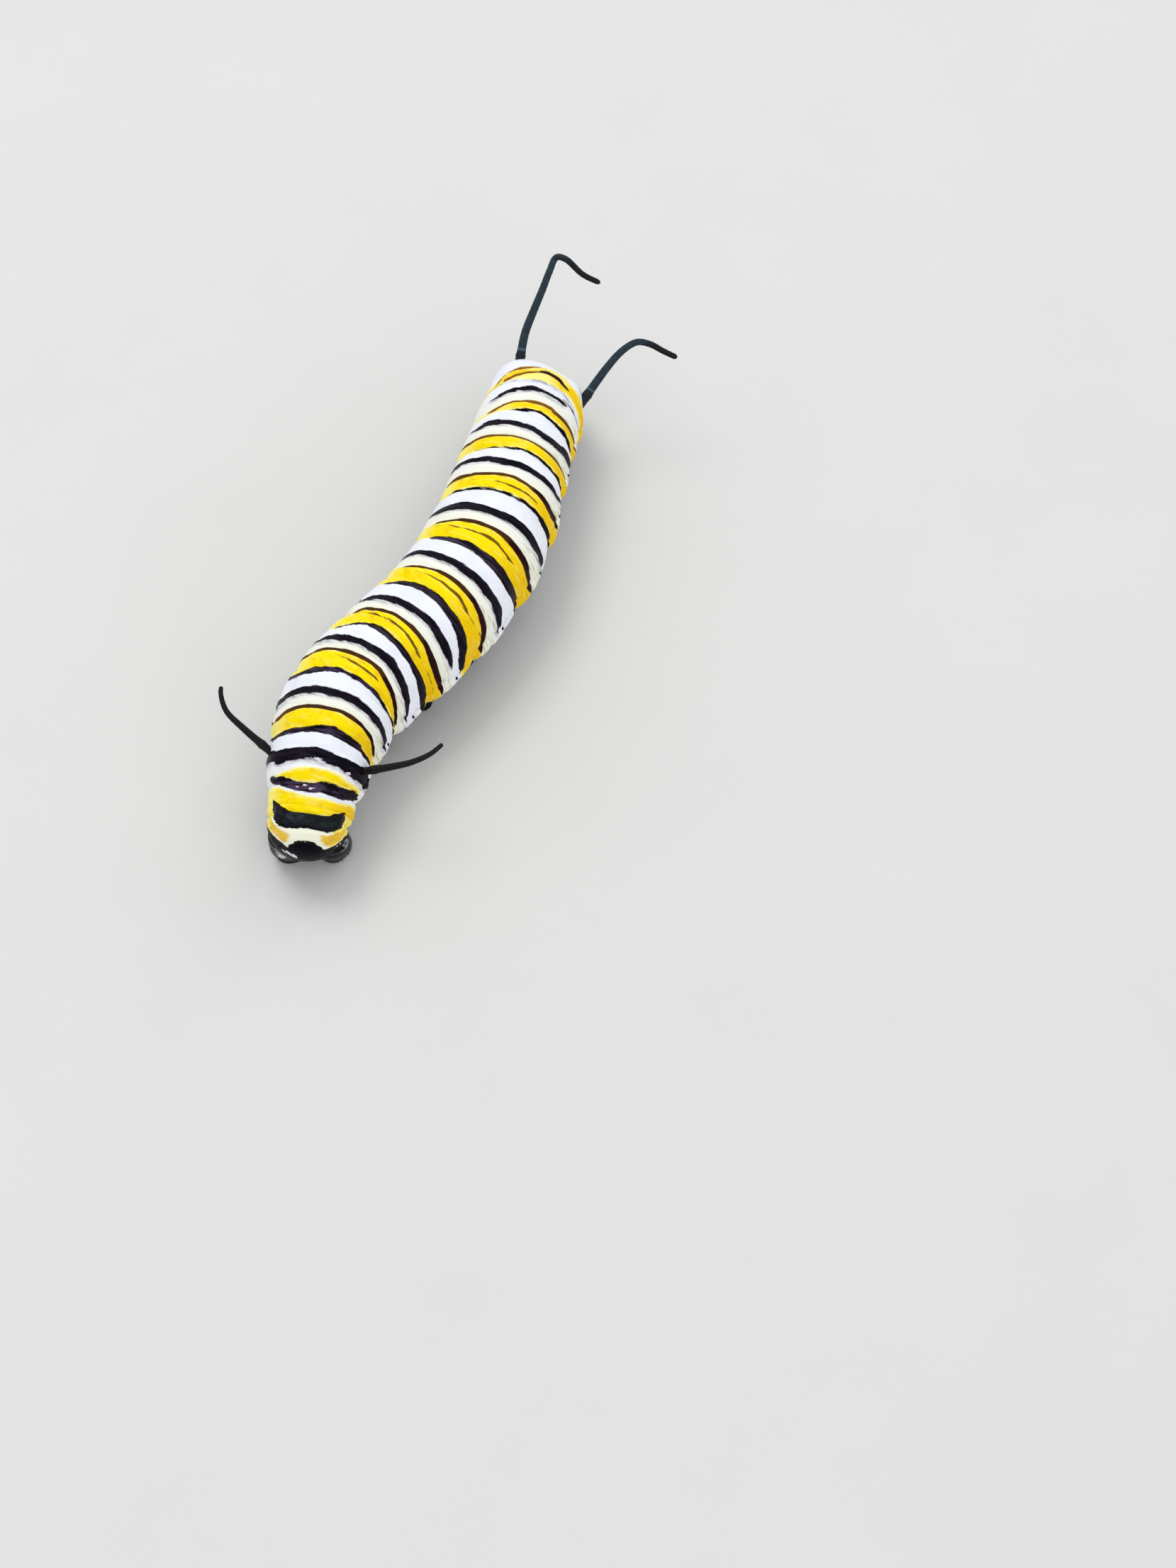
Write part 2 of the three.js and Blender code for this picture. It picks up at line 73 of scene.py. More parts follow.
# name, length, half width, turn to the larva's right, dip towards the head
SEGMENTS = [
    ("thorax_1", 1.3, 2.35, 0, 60),
    ("thorax_2", 2.4, 3.02, -4, 29),
    ("thorax_3", 2.1, 3.1, -9, 6),
    ("abdomen_1", 3.0, 3.2, -8, 2),
    ("abdomen_2", 3.5, 3.42, -9, 0),
    ("abdomen_3", 4.0, 3.6, 1.5, 0),
    ("abdomen_4", 3.85, 3.52, 11, 0),
    ("abdomen_5", 3.7, 3.55, 20.5, 0),
    ("abdomen_6", 3.75, 3.5, 18, -0.5),
    ("abdomen_7", 3.3, 3.3, -3.5, -3.5),
    ("abdomen_8", 2.8, 2.84, -13.5, -10),
    ("abdomen_9", 1.55, 2.36, -12.5, -20),
    ("abdomen_10", 2.2, 2.26, -18, -24),
]
NAMES = [row[0] for row in SEGMENTS]
LENGTHS = np.array([row[1] for row in SEGMENTS])
STARTS = np.concatenate([[0.0], np.cumsum(LENGTHS)[:-1]])
MIDDLES = STARTS + LENGTHS / 2
BODY_LENGTH = float(LENGTHS.sum())
TAIL = len(SEGMENTS) - 1
SIDES = ((1, "right"), (-1, "left"))

# Bands of each segment. Each row gives a turn from the back in degrees (the larva's left below
# zero), the band's place in mm behind the segment's front crease and its half width in mm
BANDS = {
    "thorax_1": {"thick": [(0, 0.14, 0.22)], "thin": [(0, 0.72, 0.06)], "medium": [(0, 1.15, 0.1)]},
    "thorax_2": {
        "thick": [(0, 0.32, 0.17)],
        "thin": [(-42, 2.26, -0.05), (-36, 2.2, 0.03), (-30, 2.15, 0.045), (-20, 2.02, 0.05),
                 (-10, 1.89, 0.055), (-3, 1.76, 0.07), (3, 1.6, 0.07), (10, 1.52, 0.06),
                 (25, 1.54, 0.07), (33, 1.66, 0.1), (40, 1.7, 0.08), (44, 1.7, -0.05)],
        "trim": [(-54, 2.3, -0.03), (-50, 2.25, 0.03), (-44, 2.1, 0.045), (-37, 1.75, 0.05),
                 (-33, 1.65, 0.045), (-25, 1.53, 0.04), (-10, 1.43, 0.035), (-3, 1.33, 0.02),
                 (2, 1.3, -0.03)],
        "faint": [(-3, 2.33, -0.02), (0, 2.31, 0.02), (10, 2.24, 0.025), (20, 2.2, 0.025),
                  (40, 2.21, 0.025), (50, 2.24, 0.02), (70, 2.27, -0.01)]},
    "thorax_3": {
        "medium": [(38, 0.0, -0.05), (46, 0.0, 0.04), (75, 0.02, 0.06), (105, 0.05, 0.06)],
        "thick": [(-50, 1.3, -0.04), (-43, 1.2, 0.05), (-38, 1.12, 0.1), (-30, 0.96, 0.13),
                  (-20, 0.8, 0.12), (-10, 0.68, 0.11), (0, 0.57, 0.14), (10, 0.5, 0.14),
                  (30, 0.47, 0.12), (42, 0.42, 0.12), (48, 0.4, 0.05), (53, 0.38, -0.04)],
        "thin": [(-50, 2.15, -0.03), (-40, 2.1, 0.02), (-30, 2.0, 0.03), (-20, 1.86, 0.04),
                 (-12, 1.66, 0.05), (0, 1.46, 0.06), (10, 1.35, 0.055), (20, 1.26, 0.055),
                 (32, 1.23, 0.055), (40, 1.36, 0.09), (60, 1.43, 0.1), (75, 1.43, 0.1),
                 (95, 1.4, 0.05)]},
    "abdomen_1": {
        "medium": [(-110, 0.0, 0.1), (-76, 0.0, 0.06), (-66, 0.0, -0.03), (-16, 0.08, -0.02),
                   (-10, 0.04, 0.03), (0, -0.06, 0.06), (10, -0.15, 0.055), (20, -0.19, 0.055),
                   (40, -0.13, 0.065), (75, -0.04, 0.08), (105, 0.0, 0.12)],
        "thick": [(-100, 1.0, 0.12), (-62, 1.2, 0.03), (-52, 1.31, 0.06), (-46, 1.24, 0.15),
                  (-40, 1.21, 0.17), (-30, 1.14, 0.18), (-10, 1.1, 0.15), (0, 1.11, 0.15),
                  (20, 1.2, 0.17), (40, 1.24, 0.2), (60, 1.17, 0.23), (75, 1.04, 0.28),
                  (90, 0.85, 0.2), (106, 0.8, -0.05)],
        "thin": [(-80, 2.2, 0.06), (-60, 2.4, 0.12), (-50, 2.46, 0.09), (-40, 2.35, 0.07),
                 (-30, 2.25, 0.06), (-15, 2.18, 0.06), (0, 2.1, 0.055), (20, 2.1, 0.06),
                 (40, 2.13, 0.08), (60, 2.18, 0.11), (85, 2.15, 0.1), (104, 2.1, -0.04)]},
    "abdomen_2": {
        "medium": [(-100, 0.0, 0.1), (-78, 0.05, 0.06), (-66, 0.05, -0.02), (-41, 0.1, -0.02),
                   (-36, 0.13, 0.05), (-28, 0.11, 0.055), (-20, 0.05, 0.03), (-10, 0.0, 0.04),
                   (0, -0.05, 0.05), (10, -0.13, 0.05), (20, -0.15, 0.055), (40, -0.1, 0.06),
                   (60, -0.05, 0.06), (90, 0.0, 0.1), (110, 0.0, 0.14)],
        "thick": [(-100, 0.7, 0.1), (-80, 0.85, 0.15), (-60, 1.0, 0.15), (-40, 1.1, 0.13),
                  (-30, 1.16, 0.12), (-15, 1.06, 0.13), (0, 1.16, 0.2), (20, 1.13, 0.15),
                  (45, 1.13, 0.14), (75, 1.13, 0.14), (90, 0.8, 0.1), (106, 0.7, -0.04)],
        "thin": [(-100, 2.2, 0.1), (-75, 2.4, 0.15), (-60, 2.44, 0.2), (-40, 2.4, 0.18),
                 (-30, 2.34, 0.1), (-24, 2.23, 0.05), (0, 2.17, 0.05), (15, 2.1, 0.055),
                 (30, 2.17, 0.05), (45, 2.27, 0.08), (60, 2.39, 0.15), (75, 2.41, 0.18),
                 (95, 2.3, 0.12), (106, 2.3, -0.05)],
        "faint": [(-5, 2.74, -0.02), (2, 2.73, 0.03), (20, 2.73, 0.035), (30, 2.73, 0.03),
                  (45, 2.84, 0.02), (52, 2.88, -0.03)]},
    "abdomen_3": {
        "medium": [(-100, 0.1, 0.12), (-60, 0.05, 0.05), (-45, -0.04, 0.05), (-20, -0.11, 0.06),
                   (0, -0.18, 0.075), (20, -0.24, 0.07), (40, -0.2, 0.07), (60, -0.11, 0.09),
                   (90, -0.05, 0.16), (110, 0.0, 0.2)],
        "thick": [(-100, 1.2, 0.2), (-75, 1.6, 0.15), (-60, 1.85, 0.22), (-45, 1.84, 0.34),
                  (-30, 1.66, 0.34), (-15, 1.52, 0.3), (0, 1.43, 0.27), (30, 1.32, 0.25),
                  (60, 1.35, 0.25), (90, 1.4, 0.22), (106, 1.4, -0.05)],
        "thin": [(-45, 3.1, -0.05), (-38, 3.0, 0.05), (-30, 2.95, 0.08), (-15, 2.65, 0.07),
                 (0, 2.49, 0.08), (15, 2.44, 0.07), (30, 2.45, 0.1), (45, 2.5, 0.12),
                 (60, 2.6, 0.17), (75, 2.77, 0.2), (95, 2.9, 0.15), (108, 2.9, -0.05)],
        "faint": [(-35, 3.3, -0.02), (-15, 3.25, 0.02), (0, 3.16, 0.03), (15, 3.07, 0.03),
                  (30, 3.11, 0.035), (45, 3.25, 0.035), (55, 3.3, -0.04)]},
    "abdomen_4": {
        "medium": [(-38, 0.36, -0.03), (-34, 0.33, 0.12), (-30, 0.3, 0.2), (-20, 0.23, 0.21),
                   (0, 0.09, 0.22), (15, 0.09, 0.24), (30, 0.18, 0.3), (60, 0.29, 0.33),
                   (75, 0.25, 0.28), (95, 0.2, 0.3), (112, 0.2, 0.1)],
        "thick": [(-100, 0.9, 0.15), (-75, 1.3, 0.2), (-60, 2.0, 0.2), (-52, 1.95, 0.22),
                  (-45, 1.77, 0.26), (-30, 1.66, 0.2), (0, 1.585, 0.25), (60, 1.585, 0.26),
                  (75, 1.67, 0.33), (90, 1.98, 0.2), (104, 2.1, -0.05)],
        "thin": [(-45, 3.1, -0.05), (-38, 3.05, 0.05), (-30, 2.9, 0.06), (-20, 2.77, 0.08),
                 (0, 2.56, 0.085), (20, 2.53, 0.09), (45, 2.6, 0.12), (60, 2.76, 0.16),
                 (75, 3.0, 0.18), (90, 3.35, 0.14), (104, 3.4, -0.04)],
        "faint": [(-20, 3.2, -0.02), (0, 3.13, 0.03), (8, 3.1, 0.035), (30, 3.1, 0.045),
                  (45, 3.3, 0.035), (51, 3.35, -0.03)]},
    "abdomen_5": {
        "medium": [(-48, 1.06, -0.02), (-38, 0.92, 0.1), (-30, 0.71, 0.14), (-20, 0.46, 0.24),
                   (-12, 0.27, 0.27), (0, 0.157, 0.27), (20, 0.16, 0.27), (40, 0.28, 0.28),
                   (60, 0.51, 0.34), (75, 0.8, 0.33), (90, 1.1, 0.2), (104, 1.2, -0.05)],
        "thick": [(-100, 0.9, 0.15), (-78, 1.6, 0.2), (-60, 2.6, 0.2), (-50, 2.48, 0.15),
                  (-35, 2.14, 0.16), (-20, 1.94, 0.26), (0, 1.71, 0.25), (30, 1.48, 0.23),
                  (60, 1.65, 0.26), (75, 1.71, 0.14), (85, 1.75, -0.03)],
        "thin": [(-49, 3.6, -0.03), (-40, 3.46, 0.06), (-30, 3.17, 0.08), (-20, 3.03, 0.09),
                 (0, 2.66, 0.09), (20, 2.53, 0.1), (40, 2.57, 0.13), (60, 2.8, 0.22),
                 (75, 2.87, 0.18), (95, 2.8, 0.14), (108, 2.8, -0.05)],
        "faint": [(-25, 3.4, -0.02), (-15, 3.3, 0.025), (0, 3.16, 0.035), (20, 3.06, 0.04),
                  (40, 3.27, 0.03), (50, 3.35, -0.03)]},
    "abdomen_6": {
        "medium": [(-46, 1.38, -0.03), (-43, 1.34, 0.04), (-30, 1.03, 0.09), (-20, 0.6, 0.09),
                   (-11, 0.3, 0.13), (-7, 0.22, 0.22), (0, 0.157, 0.2), (30, 0.17, 0.2),
                   (45, 0.25, 0.22), (60, 0.33, 0.25), (75, 0.45, 0.33), (95, 0.6, 0.35),
                   (112, 0.6, 0.05)],
        "thick": [(-100, 1.2, 0.2), (-80, 1.6, 0.25), (-65, 2.3, 0.1), (-50, 2.3, 0.06),
                  (-40, 2.12, 0.18), (-20, 1.86, 0.23), (0, 1.53, 0.23), (30, 1.25, 0.28),
                  (45, 1.4, 0.25), (60, 1.53, 0.28), (75, 1.73, 0.26), (90, 2.23, 0.15),
                  (102, 2.4, -0.05)],
        "thin": [(-100, 2.6, 0.1), (-85, 2.8, 0.13), (-72, 3.2, 0.05), (-50, 3.2, 0.04),
                 (-40, 3.0, 0.07), (-30, 2.78, 0.07), (0, 2.35, 0.07), (20, 2.15, 0.08),
                 (30, 2.12, 0.12), (45, 2.35, 0.14), (60, 2.65, 0.19), (75, 3.15, 0.15),
                 (86, 3.5, 0.1), (100, 3.6, -0.05)],
        "faint": [(-12, 2.85, -0.02), (0, 2.8, 0.025), (15, 2.77, 0.035), (32, 2.75, 0.035),
                  (36, 2.77, -0.02)]},
    "abdomen_7": {
        "medium": [(-90, 0.1, 0.1), (-59, 0.63, 0.09), (-45, 0.66, 0.1), (-36, 0.46, 0.15),
                   (-30, 0.3, 0.27), (-20, 0.21, 0.2), (-10, 0.0, 0.15), (0, -0.17, 0.1),
                   (20, -0.26, 0.11), (40, -0.24, 0.11), (60, -0.13, 0.06), (75, -0.09, 0.05),
                   (95, 0.0, 0.1), (110, 0.0, 0.15)],
        "thick": [(-100, 1.0, 0.2), (-80, 1.4, 0.22), (-69, 1.8, 0.25), (-59, 1.82, 0.2),
                  (-45, 1.71, 0.2), (-30, 1.52, 0.2), (-15, 1.35, 0.22), (0, 1.27, 0.24),
                  (20, 1.13, 0.27), (40, 1.18, 0.28), (60, 1.31, 0.33), (80, 1.55, 0.3),
                  (92, 1.85, 0.2), (106, 2.1, -0.05)],
        "thin": [(-100, 2.5, 0.08), (-80, 2.6, 0.08), (-67, 2.83, -0.01), (-55, 2.78, 0.07),
                 (-50, 2.73, 0.08), (-30, 2.42, 0.07), (-20, 2.3, 0.08), (0, 2.19, 0.06),
                 (20, 2.09, 0.05), (30, 2.16, 0.09), (46, 2.27, 0.1), (61, 2.52, 0.12),
                 (71, 2.81, 0.1), (80, 3.0, 0.08), (90, 3.15, -0.05)]},
    "abdomen_8": {
        "medium": [(-80, 0.2, 0.1), (-60, 0.51, 0.07), (-45, 0.43, 0.1), (-29, 0.23, 0.18),
                   (-14, 0.14, 0.17), (1, 0.08, 0.2), (16, 0.03, 0.25), (32, 0.06, 0.25),
                   (48, 0.12, 0.25), (58, 0.2, 0.2), (63, 0.38, 0.17), (79, 0.47, 0.12),
                   (88, 0.6, -0.04)],
        "thick": [(-105, 1.2, 0.2), (-60, 1.36, 0.3), (-45, 1.54, 0.33), (-29, 1.46, 0.31),
                  (2, 1.38, 0.3), (17, 1.39, 0.3), (33, 1.48, 0.28), (49, 1.55, 0.34),
                  (65, 1.54, 0.4), (82, 1.33, 0.5), (97, 1.5, 0.4), (112, 1.6, -0.1)]},
    "abdomen_9": {
        "medium": [(-70, -0.25, -0.05), (-64, -0.24, 0.14), (-52, -0.17, 0.2), (-40, -0.08, 0.21),
                   (-29, 0.02, 0.22), (-13, 0.13, 0.23), (4, 0.15, 0.26), (57, 0.0, 0.28),
                   (77, -0.1, 0.25), (90, -0.18, 0.18), (99, -0.2, -0.04)]},
    "abdomen_10": {},
}
# Yellow where it doesn't simply fill the space between a thin line and the next segment: turn
# in degrees, then its front and rear edges in mm behind the crease
YELLOWS = {
    "thorax_1": [(0, 0.7, 1.0)],
    "thorax_2": [(-85, 1.9, 3.3), (-70, 2.05, 3.1), (-56, 2.15, 2.75), (-44, 2.08, 2.42),
                 (-37, 1.75, 2.3), (-30, 1.6, 2.28), (-10, 1.42, 2.3), (0, 1.25, 2.28),
                 (15, 1.05, 2.2), (28, 1.1, 2.18), (40, 1.3, 2.1), (55, 1.3, 2.1), (70, 1.2, 2.1),
                 (90, 1.0, 2.2)],
    "abdomen_8": [(-66, 2.58, 2.63), (-46, 2.39, 2.63), (-27, 2.22, 2.71), (-10, 2.09, 2.79),
                  (3, 1.99, 2.76), (24, 1.99, 2.72), (40, 2.08, 2.68), (51, 2.21, 2.66),
                  (78, 2.2, 2.55), (92, 2.5, 2.45)],
    "abdomen_9": [(-80, 0.25, 1.2), (-44, 0.22, 1.55), (-27, 0.38, 1.63), (5, 0.58, 1.57),
                  (56, 0.5, 1.46), (77, 0.36, 1.36), (95, 0.35, 1.2)],
}
# Small pale flecks in the black, painted highlights on its gloss and, on the tail, partly pale patches:
# segment, turn in degrees, place in mm behind the segment's front crease, and half width in degrees and in
# mm
GLINTS_AND_PALE_FLECKS = [("abdomen_8", 7, 1.61, 6, 0.05), ("abdomen_8", 51, 1.83, 4, 0.06),
          ("abdomen_9", -2, 0.06, 3, 0.045), ("abdomen_9", 6, 0.21, 2.5, 0.05),
          ("abdomen_9", 12, 0.13, 2, 0.035), ("abdomen_9", -11, 0.21, 3, 0.03),
          ("abdomen_10", -45, 1.95, 7, 0.15), ("abdomen_10", -33, 2.05, 8, 0.08),
          ("abdomen_10", -58, 1.8, 4, 0.1), ("abdomen_10", 84, 1.12, 3, 0.06),
          ("abdomen_10", 78, 1.3, 2.5, 0.04)]
# The anal shield's front and rear edges and the outer edge of the pale rim behind it, as turn in
# degrees and mm behind the last crease
SHIELD_FRONT = [(-59.3, -0.86), (-45.3, -0.59), (-27.2, -0.28), (-16.1, -0.11), (5.9, -0.06),
                (27.6, -0.1), (38.3, -0.18), (51.3, -0.42), (63.9, -0.63), (68.8, -0.61)]
SHIELD_REAR = [(-48.4, 0.09), (-45.8, 0.26), (-41.2, 0.46), (-35.7, 0.62), (-25.2, 0.72),
               (-14.7, 0.73), (6.4, 0.66), (28.2, 0.73), (39.6, 0.78), (50.8, 0.61), (64.1, 0.34),
               (70.7, -0.09)]
RIM_OUTER = [(-110, 0.1), (-80, 0.3), (-63.8, 0.69), (-53.5, 1.06), (-36.6, 1.59), (-31.7, 1.61),
             (-22.3, 1.5), (-12.9, 1.38), (7.9, 1.33), (18.7, 1.35), (30.3, 1.45), (42.3, 1.57),
             (54.4, 1.59), (64.9, 1.35), (71.6, 1.11), (79.6, 0.88), (85, 0.63), (99, 0.35),
             (110, 0.1)]


def lean(places, column):
    """A column of the plan at places along the body, drawn straight between mid-segments."""
    return np.interp(places, MIDDLES, [row[column] for row in SEGMENTS])


def forward_at(places):
    turn, dip = np.radians(lean(places, 3)), np.radians(lean(places, 4))
    return np.stack([-np.sin(turn) * np.cos(dip), -np.cos(turn) * np.cos(dip), -np.sin(dip)], -1)


def walk_body():
    steps = int(round(BODY_LENGTH / WALK_STEP))
    forward = forward_at((np.arange(steps) + 0.5) * WALK_STEP)
    return np.vstack([NECK, NECK - np.cumsum(forward, axis=0) * WALK_STEP])


MIDDLE_LINE = walk_body()
MIDDLE_PLACES = np.arange(len(MIDDLE_LINE)) * WALK_STEP


def frame_at(places):
    """Centre, forward, right and up at places along the body."""
    centre = np.stack([np.interp(places, MIDDLE_PLACES, MIDDLE_LINE[:, k]) for k in range(3)], -1)
    forward = forward_at(places)
    right = np.cross(forward, [0.0, 0.0, 1.0])
    right /= np.linalg.norm(right, axis=-1, keepdims=True)
    return centre, forward, right, np.cross(right, forward)


def ripple(places, turn, seed):
    """A smooth uneven field from about -1 to 1 that closes on itself around the body."""
    random = np.random.default_rng(seed)
    total = np.zeros(np.broadcast(places, turn).shape)
    for _ in range(9):
        along, around, phase = random.uniform(0.3, 2.6), random.integers(1, 9), random.uniform(0, 6.3)
        total += np.sin(places * along + turn * around + phase) / 3
    return total


def segment_share(places):
    index = np.clip(np.searchsorted(STARTS, places, side="right") - 1, 0, TAIL)
    return index, (places - STARTS[index]) / LENGTHS[index]


def tail_share(places):
    return np.clip((places - STARTS[TAIL]) / LENGTHS[TAIL], 0, 1) * TAIL_END


# Folds across a segment: place as a share, depth in mm, half length as a share
FOLDS = [(0.0, 0.16, 0.09), (0.36, 0.04, 0.05), (0.67, 0.06, 0.05), (1.0, 0.16, 0.09)]
# Finer creases that only this skin has
FINE_FOLDS = [(0.0, 0.05, 0.018), (0.19, 0.02, 0.02), (0.5, 0.03, 0.022), (0.66, 0.035, 0.018),
              (0.79, 0.03, 0.016), (0.88, 0.02, 0.016), (1.0, 0.05, 0.018)]


def fold_depth(places, turn, rows=None):
    index, share = segment_share(places)
    uneven = 1 + 0.3 * ripple(places, turn, 5)
    depth = np.zeros(np.broadcast(places, turn).shape)
    for at, deep, spread in rows or FOLDS:
        part = deep * np.exp(-(((share - at) / spread) ** 2))
        part = np.where((index == 0) & (at == 0.0), 0, part)
        depth = depth + part * (uneven if rows else 1)
    return depth


# Pleats low on each flank: depth in mm, turn and half width in degrees, and how far it waves
UPPER_PLEAT = {"deep": 0.12, "turn": 96, "spread": 3.5, "wave": 4}
LOWER_PLEAT = {"deep": 0.14, "turn": 124, "spread": 4.5}


def flank_relief(places, turn):
    """The pleats low on each flank: a groove under the stripes and one above the legs."""
    _, share = segment_share(places)
    side = np.abs(np.degrees(turn))
    off = side - UPPER_PLEAT["turn"] - UPPER_PLEAT["wave"] * np.sin(share * 2 * np.pi)
    groove = UPPER_PLEAT["deep"] * np.exp(-((off / UPPER_PLEAT["spread"]) ** 2))
    off = side - LOWER_PLEAT["turn"]
    return -groove - LOWER_PLEAT["deep"] * np.exp(-((off / LOWER_PLEAT["spread"]) ** 2))


def hump_height(places, turn):
    start, length = STARTS[HUMPS["segment"]], LENGTHS[HUMPS["segment"]]
    along = ((places - start) / length - HUMPS["at"]) / HUMPS["reach"]
    total = np.zeros(np.broadcast(places, turn).shape)
    for at, spread, height in HUMPS["rows"]:
        total = total + height * np.exp(-(along**2) - ((np.degrees(turn) - at) / spread) ** 2)
    return total


def traced(rows, turn, column=1):
    """One column of a traced line at turns in radians."""
    return np.interp(np.degrees(turn), [row[0] for row in rows], [row[column] for row in rows])


# The rim behind the shield: height and start in mm, its middle, half reach and fade in degrees
RIM = {"high": 0.13, "start": -0.4, "middle": 6, "reach": 78, "fade": 10, "fullness": 0.62}


def rim_height(places, turn):
    """The rounded pale rim that stands up behind the anal shield."""
    behind = places - STARTS[TAIL]
    front, rear = traced(SHIELD_REAR, turn), traced(RIM_OUTER, turn)
    half = np.maximum((rear - front) * RIM["fullness"], 0.1)
    across = (behind - (front + rear) / 2) / half
    ends = np.clip((RIM["reach"] - np.abs(np.degrees(turn) - RIM["middle"])) / RIM["fade"], 0, 1)
    return RIM["high"] * np.exp(-(across**4)) * ends * (behind > RIM["start"])


def skin_reach(places, turn, detail=True):
    """Distance from the middle line to the skin, for a turn away from the back in radians."""
    _, share = segment_share(places)
    lobe = np.sin(np.pi * np.clip(share, 0, 1) ** FLANK["backward"])
    swelling = FLANK["crease"] + (FLANK["full"] - FLANK["crease"]) * lobe
    swelling = swelling * np.exp(-(((np.abs(np.degrees(turn)) - FLANK["turn"]) / FLANK["spread"]) ** 2))
    belly = np.maximum(-np.cos(turn), 0)
    section = 1 + swelling - BELLY_FLATTENING * belly**2
    dome = np.sqrt(1 - tail_share(places) ** 2)
    reach = lean(places, 2) * section - fold_depth(places, turn) + hump_height(places, turn)
    if detail:
        reach = reach - fold_depth(places, turn, FINE_FOLDS) + flank_relief(places, turn)
        reach = reach + rim_height(places, turn) + 0.02 * ripple(places * 1.5, turn, 11)
    return reach * dome


def body_spot(places, turn, share=1.0, beyond=0.0, detail=True):
    places, turn = np.asarray(places, float), np.asarray(turn, float)
    centre, forward, right, up = frame_at(places)
    behind = tail_share(places)
    reach = skin_reach(places, turn, detail) * share + beyond * np.sqrt(1 - behind**2)
    centre = centre - forward * (beyond * behind)[..., None]
    across = (reach * np.sin(turn))[..., None] * right
    return centre + across + (reach * np.cos(turn) * SECTION_HEIGHT)[..., None] * up


def outward_at(place, turn):
    """The direction in which the skin faces at one spot."""
    _, _, right, up = frame_at(np.array([place]))
    direction = np.sin(turn) * right[0] + np.cos(turn) * up[0]
    return direction / np.linalg.norm(direction)


# Meshes


def make_object(name, points, faces, material):
    """A mesh object from points in mm, at its place in the row frame."""
    mesh = bpy.data.meshes.new(name)
    mesh.from_pydata((np.asarray(points) * MM).tolist(), [], faces)
    mesh.polygons.foreach_set("use_smooth", [True] * len(mesh.polygons))
    mesh.materials.append(material)
    mesh.validate()
    mesh.update()
    piece = bpy.data.objects.new(name, mesh)
    bpy.context.collection.objects.link(piece)
    return piece


def add_field(piece, name, values):
    """Keeps one number for each point of a piece, for its material to read."""
    attribute = piece.data.attributes.new(name, "FLOAT", "POINT")
    attribute.data.foreach_set("value", np.asarray(values).astype(np.float32))


def circle(count):
    """Evenly spaced angles once around."""
    return np.linspace(0, 2 * np.pi, count, endpoint=False)


def settle(piece, slot, *nodes):
    """The piece rides on the one body and stands for its solids; the slot is not used."""
    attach(piece, "root")
    if nodes:
        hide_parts(*nodes)
    return piece


def ring_faces(rows, columns):
    """Quads between rings that close on themselves, facing outwards."""
    faces = []
    for row in range(rows - 1):
        for column in range(columns):
            after = (column + 1) % columns
            low = row * columns
            high = low + columns
            faces.append((low + column, low + after, high + after, high + column))
    return faces


def closed_tube(grid):
    """Points and faces of a ring grid (rows, columns, 3), closed by a fan at either end."""
    rows, columns, _ = grid.shape
    points = grid.reshape(-1, 3)
    faces = ring_faces(rows, columns)
    first, last = len(points), len(points) + 1
    points = np.vstack([points, grid[0].mean(0), grid[-1].mean(0)])
    base = (rows - 1) * columns
    for column in range(columns):
        after = (column + 1) % columns
        faces.append((first, after, column))
        faces.append((last, base + column, base + after))
    return points, faces


def sphere_directions(rows, sides, pole):
    """Unit directions in rings from one pole to the other, a small angle short of each."""
    polar, around = np.meshgrid(np.linspace(pole, np.pi - pole, rows), circle(sides), indexing="ij")
    return np.stack([np.sin(polar) * np.cos(around), np.sin(polar) * np.sin(around), np.cos(polar)], -1)


def closed_ball(grid):
    """A closed tube whose rings run the other way, so its faces are turned back outwards."""
    points, faces = closed_tube(grid)
    return points, [tuple(reversed(face)) for face in faces]


def merge(parts):
    """Several (points, faces) as one."""
    points, faces, count = [], [], 0
    for some_points, some_faces in parts:
        points.append(np.asarray(some_points))
        faces.extend([tuple(count + corner for corner in face) for face in some_faces])
        count += len(some_points)
    return np.vstack(points), faces


CURVE_STEPS = 40


def curve_points(controls, count):
    """Evenly spaced points on a smooth curve through the control points."""
    controls = np.asarray(controls, float)
    padded = np.vstack([2 * controls[0] - controls[1], controls, 2 * controls[-1] - controls[-2]])
    t = np.linspace(0, 1, CURVE_STEPS, endpoint=False)[:, None]
    fine = []
    for p0, p1, p2, p3 in zip(padded, padded[1:], padded[2:], padded[3:]):
        gaps = [max(np.linalg.norm(b - a), 1e-9) ** 0.5 for a, b in ((p0, p1), (p1, p2), (p2, p3))]
        t1 = (p1 - p0) / gaps[0] - (p2 - p0) / (gaps[0] + gaps[1]) + (p2 - p1) / gaps[1]
        t2 = (p2 - p1) / gaps[1] - (p3 - p1) / (gaps[1] + gaps[2]) + (p3 - p2) / gaps[2]
        t1, t2 = t1 * gaps[1], t2 * gaps[1]
        bend, twist = 3 * (p2 - p1) - 2 * t1 - t2, 2 * (p1 - p2) + t1 + t2
        fine.append(p1 + t1 * t + bend * t**2 + twist * t**3)
    fine = np.vstack(fine + [controls[-1:]])
    run = run_along(fine)
    at = np.linspace(0, run[-1], count)
    return np.stack([np.interp(at, run, fine[:, k]) for k in range(3)], -1)


def run_along(line):
    """The length run at each point of a line."""
    return np.concatenate([[0], np.cumsum(np.linalg.norm(np.diff(line, axis=0), axis=1))])


